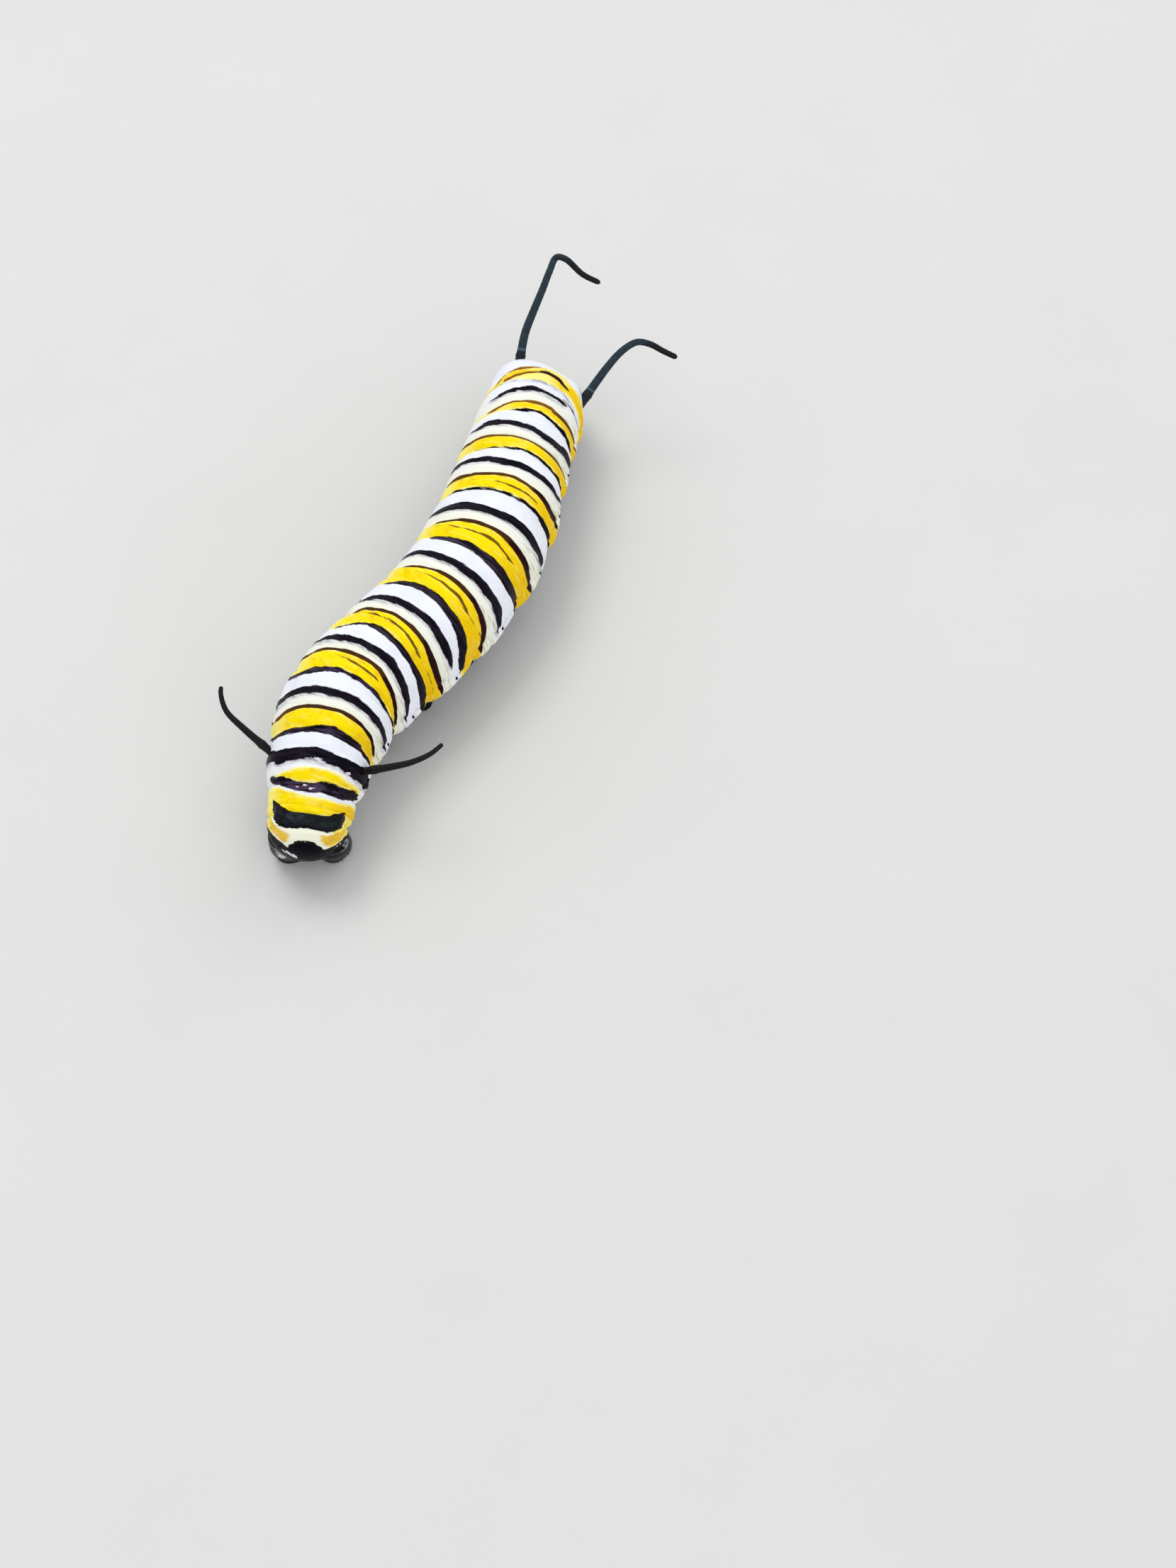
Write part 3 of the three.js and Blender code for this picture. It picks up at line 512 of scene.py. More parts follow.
def tube_grid(centres, radii, sides):
    """Rings around a line of centres, carried along it without twist."""
    tangents = np.gradient(centres, axis=0)
    tangents /= np.linalg.norm(tangents, axis=1, keepdims=True)
    upright = abs(tangents[0][2]) >= 0.9
    side = np.cross(tangents[0], [1.0, 0.0, 0.0] if upright else [0.0, 0.0, 1.0])
    angles = circle(sides)
    grid = []
    for centre, tangent, radius in zip(centres, tangents, radii):
        side = side - tangent * (side @ tangent)
        side /= np.linalg.norm(side)
        other = np.cross(tangent, side)
        ring = np.cos(angles)[:, None] * side - np.sin(angles)[:, None] * other
        grid.append(centre + ring * radius)
    return np.array(grid)


def tube(centres, radii, sides):
    return closed_tube(tube_grid(centres, radii, sides))


def rounded(radii, ends):
    """Radii along a limb with its far end rounded over the last share of its rings."""
    radii = np.array(radii, float)
    count = max(int(len(radii) * ends), 2)
    radii[-count:] *= np.sqrt(np.clip(1 - (np.arange(1, count + 1) / count) ** 2, 0.0004, 1))
    return radii


BRISTLE_SHARES = np.array([0, 0.4, 0.75, 1.0])
BRISTLE_TAPER = np.array([1, 0.8, 0.5, 0.12])


def bristle(root, direction, length, thickness, bend):
    """One stiff hair as a bent four-sided spike."""
    direction = direction / np.linalg.norm(direction)
    straight = direction * (BRISTLE_SHARES * length)[:, None]
    centres = root + straight + bend * (BRISTLE_SHARES**2 * length)[:, None]
    return tube(centres, thickness * BRISTLE_TAPER, 4)


# Materials


def linear(red, green, blue):
    """A colour given as it looks on screen, from 0 to 255, as the shader wants it."""
    parts = [channel / 255 for channel in (red, green, blue)]
    return tuple(c / 12.92 if c <= 0.04045 else ((c + 0.055) / 1.055) ** 2.4 for c in parts)


def scaled(colour, factor):
    return tuple(channel * factor for channel in colour)


def colour_setting(name, description, default):
    return bpy.props.FloatVectorProperty(
        name=name, description=description, subtype="COLOR", size=3, min=0, max=1, default=default)


def width_setting(name, description, default):
    return bpy.props.FloatProperty(
        name=name, description=description, default=default, min=0.0003, max=0.0008, unit="LENGTH")


class LarvaSkin(bpy.types.PropertyGroup):
    """Sizes and colours of the ringed skin."""

    white: colour_setting("White", "Broad stripes in front", linear(240, 241, 247))
    cream: colour_setting("Cream", "Stripes behind the thick black ones", linear(244, 242, 218))
    yellow: colour_setting("Yellow", "Yellow stripes", linear(255, 230, 0))
    pale_yellow: colour_setting("Pale yellow", "Edges of the yellow stripes", linear(255, 243, 140))
    black: colour_setting("Black", "Thick black stripes", linear(7, 4, 13))
    line: colour_setting("Line", "Thin dark lines in front of the yellow", linear(38, 6, 10))
    belly: colour_setting("Belly", "Underside", linear(52, 46, 52))
    wrinkles: bpy.props.FloatProperty(
        name="Wrinkles", description="Strength of the fine relief", default=0.35, min=0, max=1,
        subtype="FACTOR")


class LarvaHorns(bpy.types.PropertyGroup):
    """Sizes and colours of the filaments."""

    front_width: width_setting("Front width", "Thickness of the front filaments at the root", 0.00054)
    rear_width: width_setting("Rear width", "Thickness of the rear filaments at the root", 0.00046)
    front_colour: colour_setting("Front colour", "Blue-grey of the front filaments", linear(34, 50, 60))
    tip_colour: colour_setting("Tip colour", "Black of the tips and the rear pair", linear(8, 8, 11))


class LarvaHead(bpy.types.PropertyGroup):
    """Colours of the head and the legs."""

    shell: colour_setting("Shell", "Black of the head", linear(20, 18, 20))
    arcs: colour_setting("Arcs", "Yellow arcs on the face", linear(245, 222, 90))
    plates: colour_setting("Plates", "Black of the legs, prolegs and anal shield", linear(7, 6, 9))
    shield: colour_setting("Shield", "Slate black of the anal shield", linear(6, 7, 10))
    hooks: colour_setting("Hooks", "Amber of the claws and crochets", linear(96, 52, 22))


class LarvaStage(bpy.types.PropertyGroup):
    """Floor and light."""

    floor: colour_setting("Floor", "Colour of the floor", (0.72, 0.71, 0.68))
    key: bpy.props.FloatProperty(
        name="Key light", description="Power of the main light", default=0.2, min=0, max=5,
        unit="POWER")


# The share and the two colours among the inputs of a Mix node
MIX_INPUTS = (0, 6, 7)


class Nodes:
    """A small helper that adds and joins shader nodes in one tree."""

    def __init__(self, tree):
        self.tree = tree

    def add(self, kind, **values):
        node = self.tree.nodes.new(kind)
        for key, value in values.items():
            setattr(node, key, value)
        return node

    def link(self, source, target):
        self.tree.links.new(source, target)

    def give(self, socket, value):
        """Joins a socket to another one, or sets it to a number or a colour."""
        if isinstance(value, bpy.types.NodeSocket):
            self.link(value, socket)
        elif isinstance(value, (int, float)):
            socket.default_value = value
        else:
            socket.default_value = (*tuple(value)[:3], 1.0)

    def math(self, operation, *values, clamp=False):
        node = self.add("ShaderNodeMath", operation=operation, use_clamp=clamp)
        for socket, value in zip(node.inputs, values):
            self.give(socket, value)
        return node.outputs[0]

    def times(self, first, second):
        return self.math("MULTIPLY", first, second)

    def minus(self, first, second):
        return self.math("SUBTRACT", first, second)

    def step(self, value, low, high):
        """0 below low, 1 above high and smooth between them."""
        node = self.add("ShaderNodeMapRange", interpolation_type="SMOOTHSTEP")
        for name, given in (("Value", value), ("From Min", low), ("From Max", high)):
            self.give(node.inputs[name], given)
        return node.outputs["Result"]

    def mix(self, share, first, second):
        """A blend from the first colour to the second."""
        node = self.add("ShaderNodeMix", data_type="RGBA")
        for index, value in zip(MIX_INPUTS, (share, first, second)):
            self.give(node.inputs[index], value)
        return node.outputs[2]

    def streaks(self, around, along, detail):
        """Noise drawn out around the body, from the fields that unroll it."""
        place = self.add("ShaderNodeCombineXYZ")
        self.link(self.times(self.field("around"), around), place.inputs["X"])
        self.link(self.times(self.field("along"), along), place.inputs["Y"])
        node = self.add("ShaderNodeTexNoise")
        self.link(place.outputs["Vector"], node.inputs["Vector"])
        node.inputs["Scale"].default_value = 1.0
        node.inputs["Detail"].default_value = detail
        return node.outputs["Fac"]

    def noise(self, scale, detail, roughness=0.5):
        place = self.add("ShaderNodeTexCoord").outputs["Object"]
        node = self.add("ShaderNodeTexNoise")
        self.link(place, node.inputs["Vector"])
        for name, value in (("Scale", scale), ("Detail", detail), ("Roughness", roughness)):
            self.give(node.inputs[name], value)
        return node.outputs["Fac"]

    def field(self, name):
        return self.add("ShaderNodeAttribute", attribute_name=name).outputs["Fac"]


def group_tree(name, inputs, outputs):
    """An empty shader node group with named float inputs and outputs."""
    tree = bpy.data.node_groups.new(name, "ShaderNodeTree")
    for label, default in inputs:
        socket = tree.interface.new_socket(label, in_out="INPUT", socket_type="NodeSocketFloat")
        socket.default_value = default
    for label in outputs:
        tree.interface.new_socket(label, in_out="OUTPUT", socket_type="NodeSocketFloat")
    nodes = Nodes(tree)
    return tree, nodes, nodes.add("NodeGroupInput"), nodes.add("NodeGroupOutput")


def ragged_edge():
    """Turns a signed distance in mm into a mask whose edge wanders with a noise around 0.5."""
    if "ragged_edge" in bpy.data.node_groups:
        return bpy.data.node_groups["ragged_edge"]
    inputs = (("Distance", 0.0), ("Noise", 0.5), ("Wander", 0.04), ("Softness", 0.03))
    tree, nodes, given, result = group_tree("ragged_edge", inputs, ("Mask",))
    wander = nodes.times(nodes.minus(given.outputs["Noise"], 0.5), given.outputs["Wander"])
    distance = nodes.math("ADD", given.outputs["Distance"], nodes.times(wander, 2.0))
    low = nodes.times(given.outputs["Softness"], -1.0)
    nodes.link(nodes.step(distance, low, given.outputs["Softness"]), result.inputs["Mask"])
    return tree


def fine_relief():
    """Pebbled and creased skin, as a height from 0 to 1 and a mask of its pits."""
    if "fine_relief" in bpy.data.node_groups:
        return bpy.data.node_groups["fine_relief"]
    inputs = (("Pebble Scale", 6000.0), ("Crease Scale", 2200.0), ("Crease Share", 0.5))
    tree, nodes, given, result = group_tree("fine_relief", inputs, ("Height", "Pits"))
    place = nodes.add("ShaderNodeTexCoord").outputs["Object"]
    pebble = nodes.add("ShaderNodeTexVoronoi", feature="SMOOTH_F1")
    nodes.link(place, pebble.inputs["Vector"])
    nodes.link(given.outputs["Pebble Scale"], pebble.inputs["Scale"])
    crease = nodes.noise(given.outputs["Crease Scale"], 5.0, 0.6)
    ridge = nodes.math("ABSOLUTE", nodes.minus(crease, 0.5))
    ridge = nodes.math("MULTIPLY", ridge, 4.0, clamp=True)
    share = given.outputs["Crease Share"]
    pebbled = nodes.times(pebble.outputs["Distance"], nodes.minus(1.0, share))
    nodes.link(nodes.math("ADD", nodes.times(ridge, share), pebbled), result.inputs["Height"])
    nodes.link(nodes.step(pebble.outputs["Distance"], 0.15, 0.6), result.inputs["Pits"])
    return tree


def new_material(name):
    material = bpy.data.materials.new(name)
    material.use_nodes = True
    nodes = Nodes(material.node_tree)
    return material, nodes, material.node_tree.nodes["Principled BSDF"]


def use_group(nodes, tree, **values):
    node = nodes.add("ShaderNodeGroup")
    node.node_tree = tree
    for label, value in values.items():
        nodes.give(node.inputs[label.replace("_", " ")], value)
    return node


def ragged_mask(nodes, distance, noise, wander, softness):
    """A mask of where a distance is above zero, its edge wandering by so many mm."""
    return use_group(nodes, ragged_edge(), Distance=distance, Noise=noise, Wander=wander,
                     Softness=softness).outputs["Mask"]


def set_constants(shader, **values):
    for label, value in values.items():
        shader.inputs[label.replace("_", " ")].default_value = value


def add_bump(nodes, shader, height, strength, distance_mm):
    bump = nodes.add("ShaderNodeBump")
    bump.inputs["Strength"].default_value = strength
    bump.inputs["Distance"].default_value = distance_mm * MM
    nodes.link(height, bump.inputs["Height"])
    nodes.link(bump.outputs["Normal"], shader.inputs["Normal"])


# Colours in the skin's markings that aren't settings. Some stand for light: the grey behind the thick
# bands is painted shade, the violet on the black is painted sheen and the pale flecks in the black are
# painted highlights, on the tail partly pale marks
SHADES = {
    "shaded white": (0.72, 0.73, 0.82), "freckle": (0.42, 0.40, 0.16),
    "deep gold": (0.86, 0.47, 0.004), "mottled gold": (0.78, 0.42, 0.003),
    "light amber": linear(246, 208, 80), "amber": linear(214, 164, 36),
    "faint line": (0.09, 0.03, 0.004), "warm line": (0.13, 0.055, 0.006),
    "ochre line": (0.29, 0.105, 0.002), "fringe": (0.19, 0.17, 0.24),
    "violet": (0.06, 0.035, 0.075), "fleck": (0.75, 0.70, 0.72),
}
# The noise that roughens each marking's edge, how far it wanders and how soft it is, in mm
EDGES = {
    "dark": ("brush", 0.13, 0.03), "line": ("brush", 0.06, 0.025), "yellow": ("wave", 0.1, 0.05),
    "faint": ("brush", 0.1, 0.02), "fleck": ("speck", 0.08, 0.02), "belly": ("tatter", 0.5, 0.1),
}


def pale_ground(nodes, look, noises):
    """White that turns to cream towards the yellow, with olive freckles low on the flanks."""
    shade = nodes.step(nodes.noise(700.0, 4.0, 0.55), 0.4, 0.8)
    white = nodes.mix(nodes.times(shade, 0.5), look.white, SHADES["shaded white"])
    pale = nodes.mix(nodes.field("cream"), white, look.cream)
    freckle = nodes.times(nodes.step(noises["stroke"], 0.5, 0.66), nodes.field("freckle"))
    return nodes.mix(nodes.times(freckle, 0.75), pale, SHADES["freckle"])


def gold_ground(nodes, look, noises):
    """Mottled yellow that pales at its edges and where it fades. Its paling on the left flank is painted
    light and its deeper gold towards the right flank is painted shade.
    """
    # Deeper gold towards the right flank is painted shade
    rich = nodes.mix(nodes.field("golden"), look.yellow, SHADES["deep gold"])
    mottle = nodes.step(nodes.noise(1900.0, 4.0, 0.6), 0.5, 0.66)
    rich = nodes.mix(nodes.times(mottle, 0.4), rich, SHADES["mottled gold"])
    inner = nodes.minus(nodes.field("yellow"), 0.09)
    gold = nodes.mix(ragged_mask(nodes, inner, noises["brush"], 0.22, 0.11), look.pale_yellow, rich)
    strokes = nodes.times(nodes.step(noises["stroke"], 0.5, 0.75), 0.45)
    gold = nodes.mix(strokes, gold, look.pale_yellow)
    return nodes.mix(nodes.times(nodes.field("fade"), 0.85), gold, look.pale_yellow)


def line_colour(nodes, look):
    """Dark red-brown, brown or ochre, as the field "brown" runs from 0 over 1 to 2."""
    brown = nodes.math("MULTIPLY", nodes.field("brown"), 1.0, clamp=True)
    ochre = nodes.math("SUBTRACT", nodes.field("brown"), 1.0, clamp=True)
    warm = nodes.mix(brown, look.line, SHADES["warm line"])
    return nodes.mix(ochre, warm, SHADES["ochre line"])


# Black with lighter random specks and violet-grey streaks of painted sheen
def black_colour(nodes, look, noises):
    inky = nodes.mix(nodes.step(noises["speck"], 0.5, 0.8), look.black, scaled(look.black, 1.5))
    strokes = nodes.step(noises["stroke"], 0.4, 0.66)
    violet = nodes.math("MULTIPLY", strokes, nodes.field("violet"), clamp=True)
    return nodes.mix(violet, inky, SHADES["violet"])


def skin_colour(nodes, look, noises, masks):
    """Every marking over the one beneath it, from the pale ground to the pale flecks, with painted shade
    behind the thick bands and painted highlights among the flecks.
    """
    brush = noises["brush"]
    colour = nodes.mix(masks["yellow"], pale_ground(nodes, look, noises), gold_ground(nodes, look, noises))
    amber = nodes.math("MULTIPLY_ADD", nodes.minus(brush, 0.5), 0.9, nodes.field("amber"))
    amber_tone = nodes.mix(noises["wave"], SHADES["light amber"], SHADES["amber"])
    colour = nodes.mix(nodes.step(amber, 0.2, 0.7), colour, amber_tone)
    colour = nodes.mix(nodes.times(masks["faint"], 0.9), colour, SHADES["faint line"])
    colour = nodes.mix(masks["belly"], colour, look.belly)
    colour = nodes.mix(masks["line"], colour, line_colour(nodes, look))
    # Painted shade: a streaky grey behind the thick bands and in the second segment's crease
    shade_behind_band = nodes.math("MULTIPLY_ADD", nodes.step(brush, 0.42, 0.6), 0.6, 0.3)
    shade_behind_band = nodes.times(nodes.times(shade_behind_band, nodes.field("fringe")), nodes.minus(1.0, masks["belly"]))
    colour = nodes.mix(shade_behind_band, colour, SHADES["fringe"])
    colour = nodes.mix(masks["dark"], colour, black_colour(nodes, look, noises))
    # Pale flecks in the black: painted highlights, on the tail partly pale marks
    return nodes.mix(masks["fleck"], colour, SHADES["fleck"])


def skin_material(look):
    """Soft skin with the rings painted on it and a fine relief, glossier where it is black."""
    material, nodes, shader = new_material("ringed_skin")
    noises = {
        "brush": nodes.streaks(1.3, 6.0, 4.0), "wave": nodes.streaks(0.9, 1.2, 3.0),
        "stroke": nodes.streaks(0.7, 5.5, 4.0), "speck": nodes.noise(5200.0, 3.0, 0.6),
        "tatter": nodes.noise(900.0, 5.0, 0.65)}
    masks = {name: ragged_mask(nodes, nodes.field(name), noises[noise], wander, softness)
             for name, (noise, wander, softness) in EDGES.items()}
    nodes.link(skin_colour(nodes, look, noises, masks), shader.inputs["Base Color"])

    relief = use_group(nodes, fine_relief(), Pebble_Scale=7000.0, Crease_Scale=2400.0, Crease_Share=0.55)
    rough = nodes.math("MULTIPLY_ADD", relief.outputs["Height"], 0.18, 0.44)
    nodes.link(nodes.minus(rough, nodes.times(masks["dark"], 0.12)), shader.inputs["Roughness"])
    set_constants(shader, Specular_IOR_Level=0.05, Subsurface_Weight=0.03,
                  Subsurface_Radius=(1.0, 0.7, 0.4), Subsurface_Scale=0.0005)
    height = nodes.minus(relief.outputs["Height"], nodes.times(masks["dark"], 0.35))
    height = nodes.math("MULTIPLY_ADD", noises["stroke"], 0.9, height)
    add_bump(nodes, shader, height, look.wrinkles, 0.06)
    return material


def paint_patches(piece, values):
    """Marks how much of the paler colour of its plates shows at each point of a piece."""
    add_field(piece, "patch", np.clip(values, 0, 1))


def plate_material(name, colour, roughness, lift=1.7, bump=0.3, coat=0.06, patches=None):
    """Horny black skin: a mottled dark colour with fine relief, a thin gloss and, where given, paler
    patches: painted sheen on the shield, partly pale marks and partly painted highlights on the anal
    prolegs.
    """
    material, nodes, shader = new_material(name)
    relief = use_group(nodes, fine_relief(), Pebble_Scale=5200.0, Crease_Scale=1500.0, Crease_Share=0.35)
    blotch = nodes.noise(900.0, 4.0, 0.6)
    bright = tuple(min(channel, 1.0) for channel in scaled(colour, lift))
    tone = nodes.mix(nodes.step(blotch, 0.35, 0.72), colour, bright)
    tone = nodes.mix(nodes.times(relief.outputs["Pits"], 0.25), tone, scaled(colour, 2.4))
    if patches is not None:
        mottled = nodes.step(nodes.noise(2600.0, 5.0, 0.65), 0.38, 0.62)
        tone = nodes.mix(nodes.times(nodes.field("patch"), mottled), tone, patches)
    nodes.link(tone, shader.inputs["Base Color"])
    rough = nodes.math("MULTIPLY_ADD", blotch, 0.22, roughness - 0.11)
    nodes.link(rough, shader.inputs["Roughness"])
    set_constants(shader, Specular_IOR_Level=0.08, Coat_Weight=coat, Coat_Roughness=0.25)
    add_bump(nodes, shader, relief.outputs["Height"], bump, 0.035)
    return material


# Horny finishes: the setting that gives the colour, the roughness and what else differs
PLATES = {
    "black_plate": ("plates", 0.36, {}),
    # The shield's paler patches are painted sheen
    "shield_plate": ("shield", 0.34, {"bump": 0.25, "patches": (0.026, 0.036, 0.046)}),
    # The anal prolegs' paler patches are partly pale marks and partly painted highlights
    "blotched_plate": ("plates", 0.36, {"patches": (0.68, 0.66, 0.68)}),
    "leg_horn": ("plates", 0.24, {"coat": 0.12}),
    "hook_amber": ("hooks", 0.3, {"lift": 1.4}),
    "dull_black": ("plates", 0.6, {"coat": 0.0}),
    "bristle_black": ("plates", 0.4, {"coat": 0.05}),
}


def plate(name):
    """The horny finish of that name, made the first time it is asked for."""
    setting, roughness, options = PLATES[name]
    colour = getattr(bpy.context.scene.larva_head, setting)
    return bpy.data.materials.get(name) or plate_material(name, colour, roughness, **options)


def filament_material(name, colour, tip=None):
    """Soft ringed horn. With a tip colour, the field "tip" fades one into the other, the root is darker
    and a pale ring of painted highlight lies above it.
    """
    material, nodes, shader = new_material(name)
    run = nodes.field("run")
    rings = nodes.math("SINE", nodes.times(run, 62.0))
    rings = nodes.math("MULTIPLY_ADD", rings, 0.5, 0.5)
    mottle = nodes.noise(3200.0, 4.0, 0.6)
    tone = nodes.mix(nodes.step(mottle, 0.35, 0.7), scaled(colour, 0.72), scaled(colour, 1.35))
    tone = nodes.mix(nodes.times(rings, 0.22), tone, scaled(colour, 0.55))
    if tip is not None:
        tone = nodes.mix(nodes.field("tip"), tone, tip)
        tone = nodes.mix(nodes.step(run, 0.3, 0.42), scaled(colour, 0.35), tone)
        # Painted highlight: a pale ring just above the darker root
        highlight_ring = nodes.times(nodes.step(run, 0.34, 0.42), nodes.step(run, 0.56, 0.48))
        tone = nodes.mix(nodes.times(highlight_ring, 0.6), tone, scaled(colour, 4))
    nodes.link(tone, shader.inputs["Base Color"])
    nodes.link(nodes.math("MULTIPLY_ADD", mottle, 0.2, 0.4), shader.inputs["Roughness"])
    set_constants(shader, Specular_IOR_Level=0.2)
    height = nodes.math("MULTIPLY_ADD", mottle, 0.8, nodes.times(rings, 0.5))
    add_bump(nodes, shader, height, 0.35, 0.03)
    return material


def head_material(look):
    """A glossy black shell with two pale arcs on the face."""
    material, nodes, shader = new_material("head_shell")
    arcs = ragged_mask(nodes, nodes.field("arcs"), nodes.noise(1800.0, 3.0), 0.05, 0.035)
    relief = use_group(nodes, fine_relief(), Pebble_Scale=5200.0, Crease_Scale=1700.0, Crease_Share=0.3)
    speck = nodes.noise(2600.0, 3.0, 0.6)
    shell = nodes.mix(nodes.step(speck, 0.4, 0.75), look.shell, scaled(look.shell, 2.0))
    worn = (look.arcs[0], look.arcs[1] * 0.9, look.arcs[2] * 1.8)
    pale = nodes.mix(nodes.step(speck, 0.45, 0.8), look.arcs, worn)
    nodes.link(nodes.mix(arcs, shell, pale), shader.inputs["Base Color"])
    rough = nodes.math("MULTIPLY_ADD", relief.outputs["Height"], 0.2, 0.24)
    nodes.link(rough, shader.inputs["Roughness"])
    set_constants(shader, Coat_Weight=0.2, Coat_Roughness=0.2)
    add_bump(nodes, shader, relief.outputs["Height"], 0.3, 0.04)
    return material


def eye_material():
    material, nodes, shader = new_material("eye_lens")
    spot = nodes.noise(2400.0, 2.0)
    nodes.link(nodes.mix(spot, (0.006, 0.005, 0.006), (0.03, 0.022, 0.02)), shader.inputs["Base Color"])
    set_constants(shader, Roughness=0.08, Coat_Weight=0.6)
    return material


# Skin

# Points around a ring, rings at the neck and over the tail, and mm between the others
SKIN_SIDES, NECK_ROWS, TAIL_ROWS = 168, 8, 52
ROW_STEP = 0.07
# Mean radius of the body in mm, and the length of one degree around it
MEAN_RADIUS, MM_PER_DEGREE = 3.4, 0.055
# Turn in degrees where the dark underside begins
BELLY_EDGE = 114
# Share of the bake map left free at each edge
BAKE_MARGIN = 0.01


def skin_rows():
    """Places of the skin's rings: even along the body and closer together over the tail."""
    straight = np.arange(0, STARTS[TAIL], ROW_STEP)
    dome = np.linspace(0, np.pi / 2, TAIL_ROWS)
    return np.concatenate([straight, STARTS[TAIL] + LENGTHS[TAIL] * np.sin(dome)])


def rise(values, start, width):
    """0 up to start and 1 from a width further on."""
    return np.clip((values - start) / width, 0, 1)


def fall(values, end, width):
    """1 up to a width before the end and 0 from there on."""
    return np.clip((end - values) / width, 0, 1)


# A distance far outside every marking, in mm
FAR = -9.0
# The field that each kind of band goes to, if not "line", and how much wider it is drawn, in mm
BAND_FIELDS = {"thick": "dark", "medium": "dark", "faint": "faint"}
BAND_GROWTH = {"thin": 0.042, "trim": 0.025, "faint": 0.02, "medium": 0.015}
# Turns in degrees down each flank at which bands narrow, then end, and the yellow ends
BAND_NARROWS, BAND_ENDS, YELLOW_ENDS = 112, 116, 114
# Yellow that spills over the next crease on the left, in mm at its widest
SPILLS = {"thorax_3": 0.6, "abdomen_1": 0.35}
# The gold lobes of the tail's rim: turn and half width in degrees, and strength
GOLD_LOBES = ((52, 24, 0.85), (-38, 19, 0.7))
START = dict(zip(NAMES, STARTS))


def grow(fields, name, values):
    """Adds to a field what lies further inside than what it already has."""
    fields[name] = np.maximum(fields[name], values)


def add_bands(fields, index, at, degrees, turn, waver, near):
    """The dark bands and thin lines of one segment, and the tones that go with them: painted shade behind
    the thick bands and in the second segment's crease, and painted violet sheen on the black.
    """
    name, side = NAMES[index], np.abs(degrees)
    for kind, rows in BANDS[name].items():
        middle, half = traced(rows, turn), traced(rows, turn, 2)
        distance = np.where(near, half - np.abs(at - middle - waver), FAR)
        if kind == "thick" and name in ("abdomen_1", "abdomen_2"):
            distance = distance + 0.035
        distance = distance + BAND_GROWTH.get(kind, 0.0)
        inside = np.clip(distance / 0.08 + 0.5, 0, 1)
        # Painted sheen: violet-grey on the medium bands, stronger towards the lit left side
        if kind == "medium" and NAMES.index("abdomen_4") <= index <= NAMES.index("abdomen_9"):
            violet = inside * np.clip((70 - degrees) / 60, 0.15, 1)
            grow(fields, "violet", violet * (1.8 if name == "abdomen_9" else 1))
        # The second segment's faint line is drawn as painted shade in its crease
        if kind == "faint" and name == "thorax_2":
            grow(fields, "fringe", np.clip(0.8 + distance / 0.06, 0, 0.8))
            continue
        if kind == "faint":
            close = np.clip(1 - np.abs(at - middle) / 0.24, 0, 1) * (half > 0)
            grow(fields, "amber", close * 0.5)
            if name != "abdomen_2":
                distance = distance + 0.025 * rise(degrees, 5, 15)
        low = np.minimum(distance, (BAND_ENDS - side) * 0.05)
        grow(fields, BAND_FIELDS.get(kind, "line"), np.where(side > BAND_NARROWS, low, distance))
        if kind == "trim":
            fields["brown"] = np.where(distance > -0.12, 2.0, fields["brown"])
        # Painted shade just behind the rear edge of each thick band
        if kind == "thick" and index >= NAMES.index("thorax_3"):
            past = at - middle - waver - half
            shade_behind_band = np.where((past > -0.06) & (past < 0.3), 1 - np.clip(past / 0.24, 0, 1), 0)
            grow(fields, "fringe", shade_behind_band * np.clip(half / 0.08, 0, 1))
        # A faint painted sheen on the thick bands
        if kind == "thick" and index >= NAMES.index("abdomen_1"):
            grow(fields, "violet", 0.18 * inside)


def add_yellow(fields, index, at, degrees, turn, waver, near):
    """The yellow of one segment, and the cream and the freckles in front of it."""
    name, side, length = NAMES[index], np.abs(degrees), LENGTHS[index]
    bands = BANDS[name]
    following = BANDS[NAMES[index + 1]].get("medium") if index < TAIL else None
    if name in YELLOWS:
        low, high = traced(YELLOWS[name], turn), traced(YELLOWS[name], turn, 2)
    elif "thin" in bands and following:
        low, high = traced(bands["thin"], turn), length + traced(following, turn)
        spill = SPILLS.get(name, 0) * fall(degrees, -8, 35)
        high = np.maximum(high, np.where(spill > 0, length + spill, FAR))
        grow(fields, "spilt", ((spill > 0) & (at > length - 0.05) & (at < high)) * 1.0)
    else:
        return
    inside = np.minimum(at - low, high - at) - waver * 0.4
    inside = np.minimum(inside, (YELLOW_ENDS - side) * 0.06)
    grow(fields, "yellow", np.where(near, inside, FAR))
    if "thick" not in bands or index < NAMES.index("thorax_3"):
        return
    after, before = at - traced(bands["thick"], turn), low - at
    ramp = np.clip(after / np.maximum(after + before, 0.2), 0, 1)
    grow(fields, "cream", np.where((after > 0) & (before > -0.3), 0.25 + 0.75 * ramp, 0))
    low_side = rise(degrees, 48, 14) * fall(side, BAND_NARROWS, 12)
    low_side = low_side + 0.4 * fall(degrees, -55, 14) * fall(side, BAND_NARROWS, 12)
    grow(fields, "freckle", low_side * (rise(after, 0.25, 0.2) * np.clip(before / 0.1, 0, 1)))


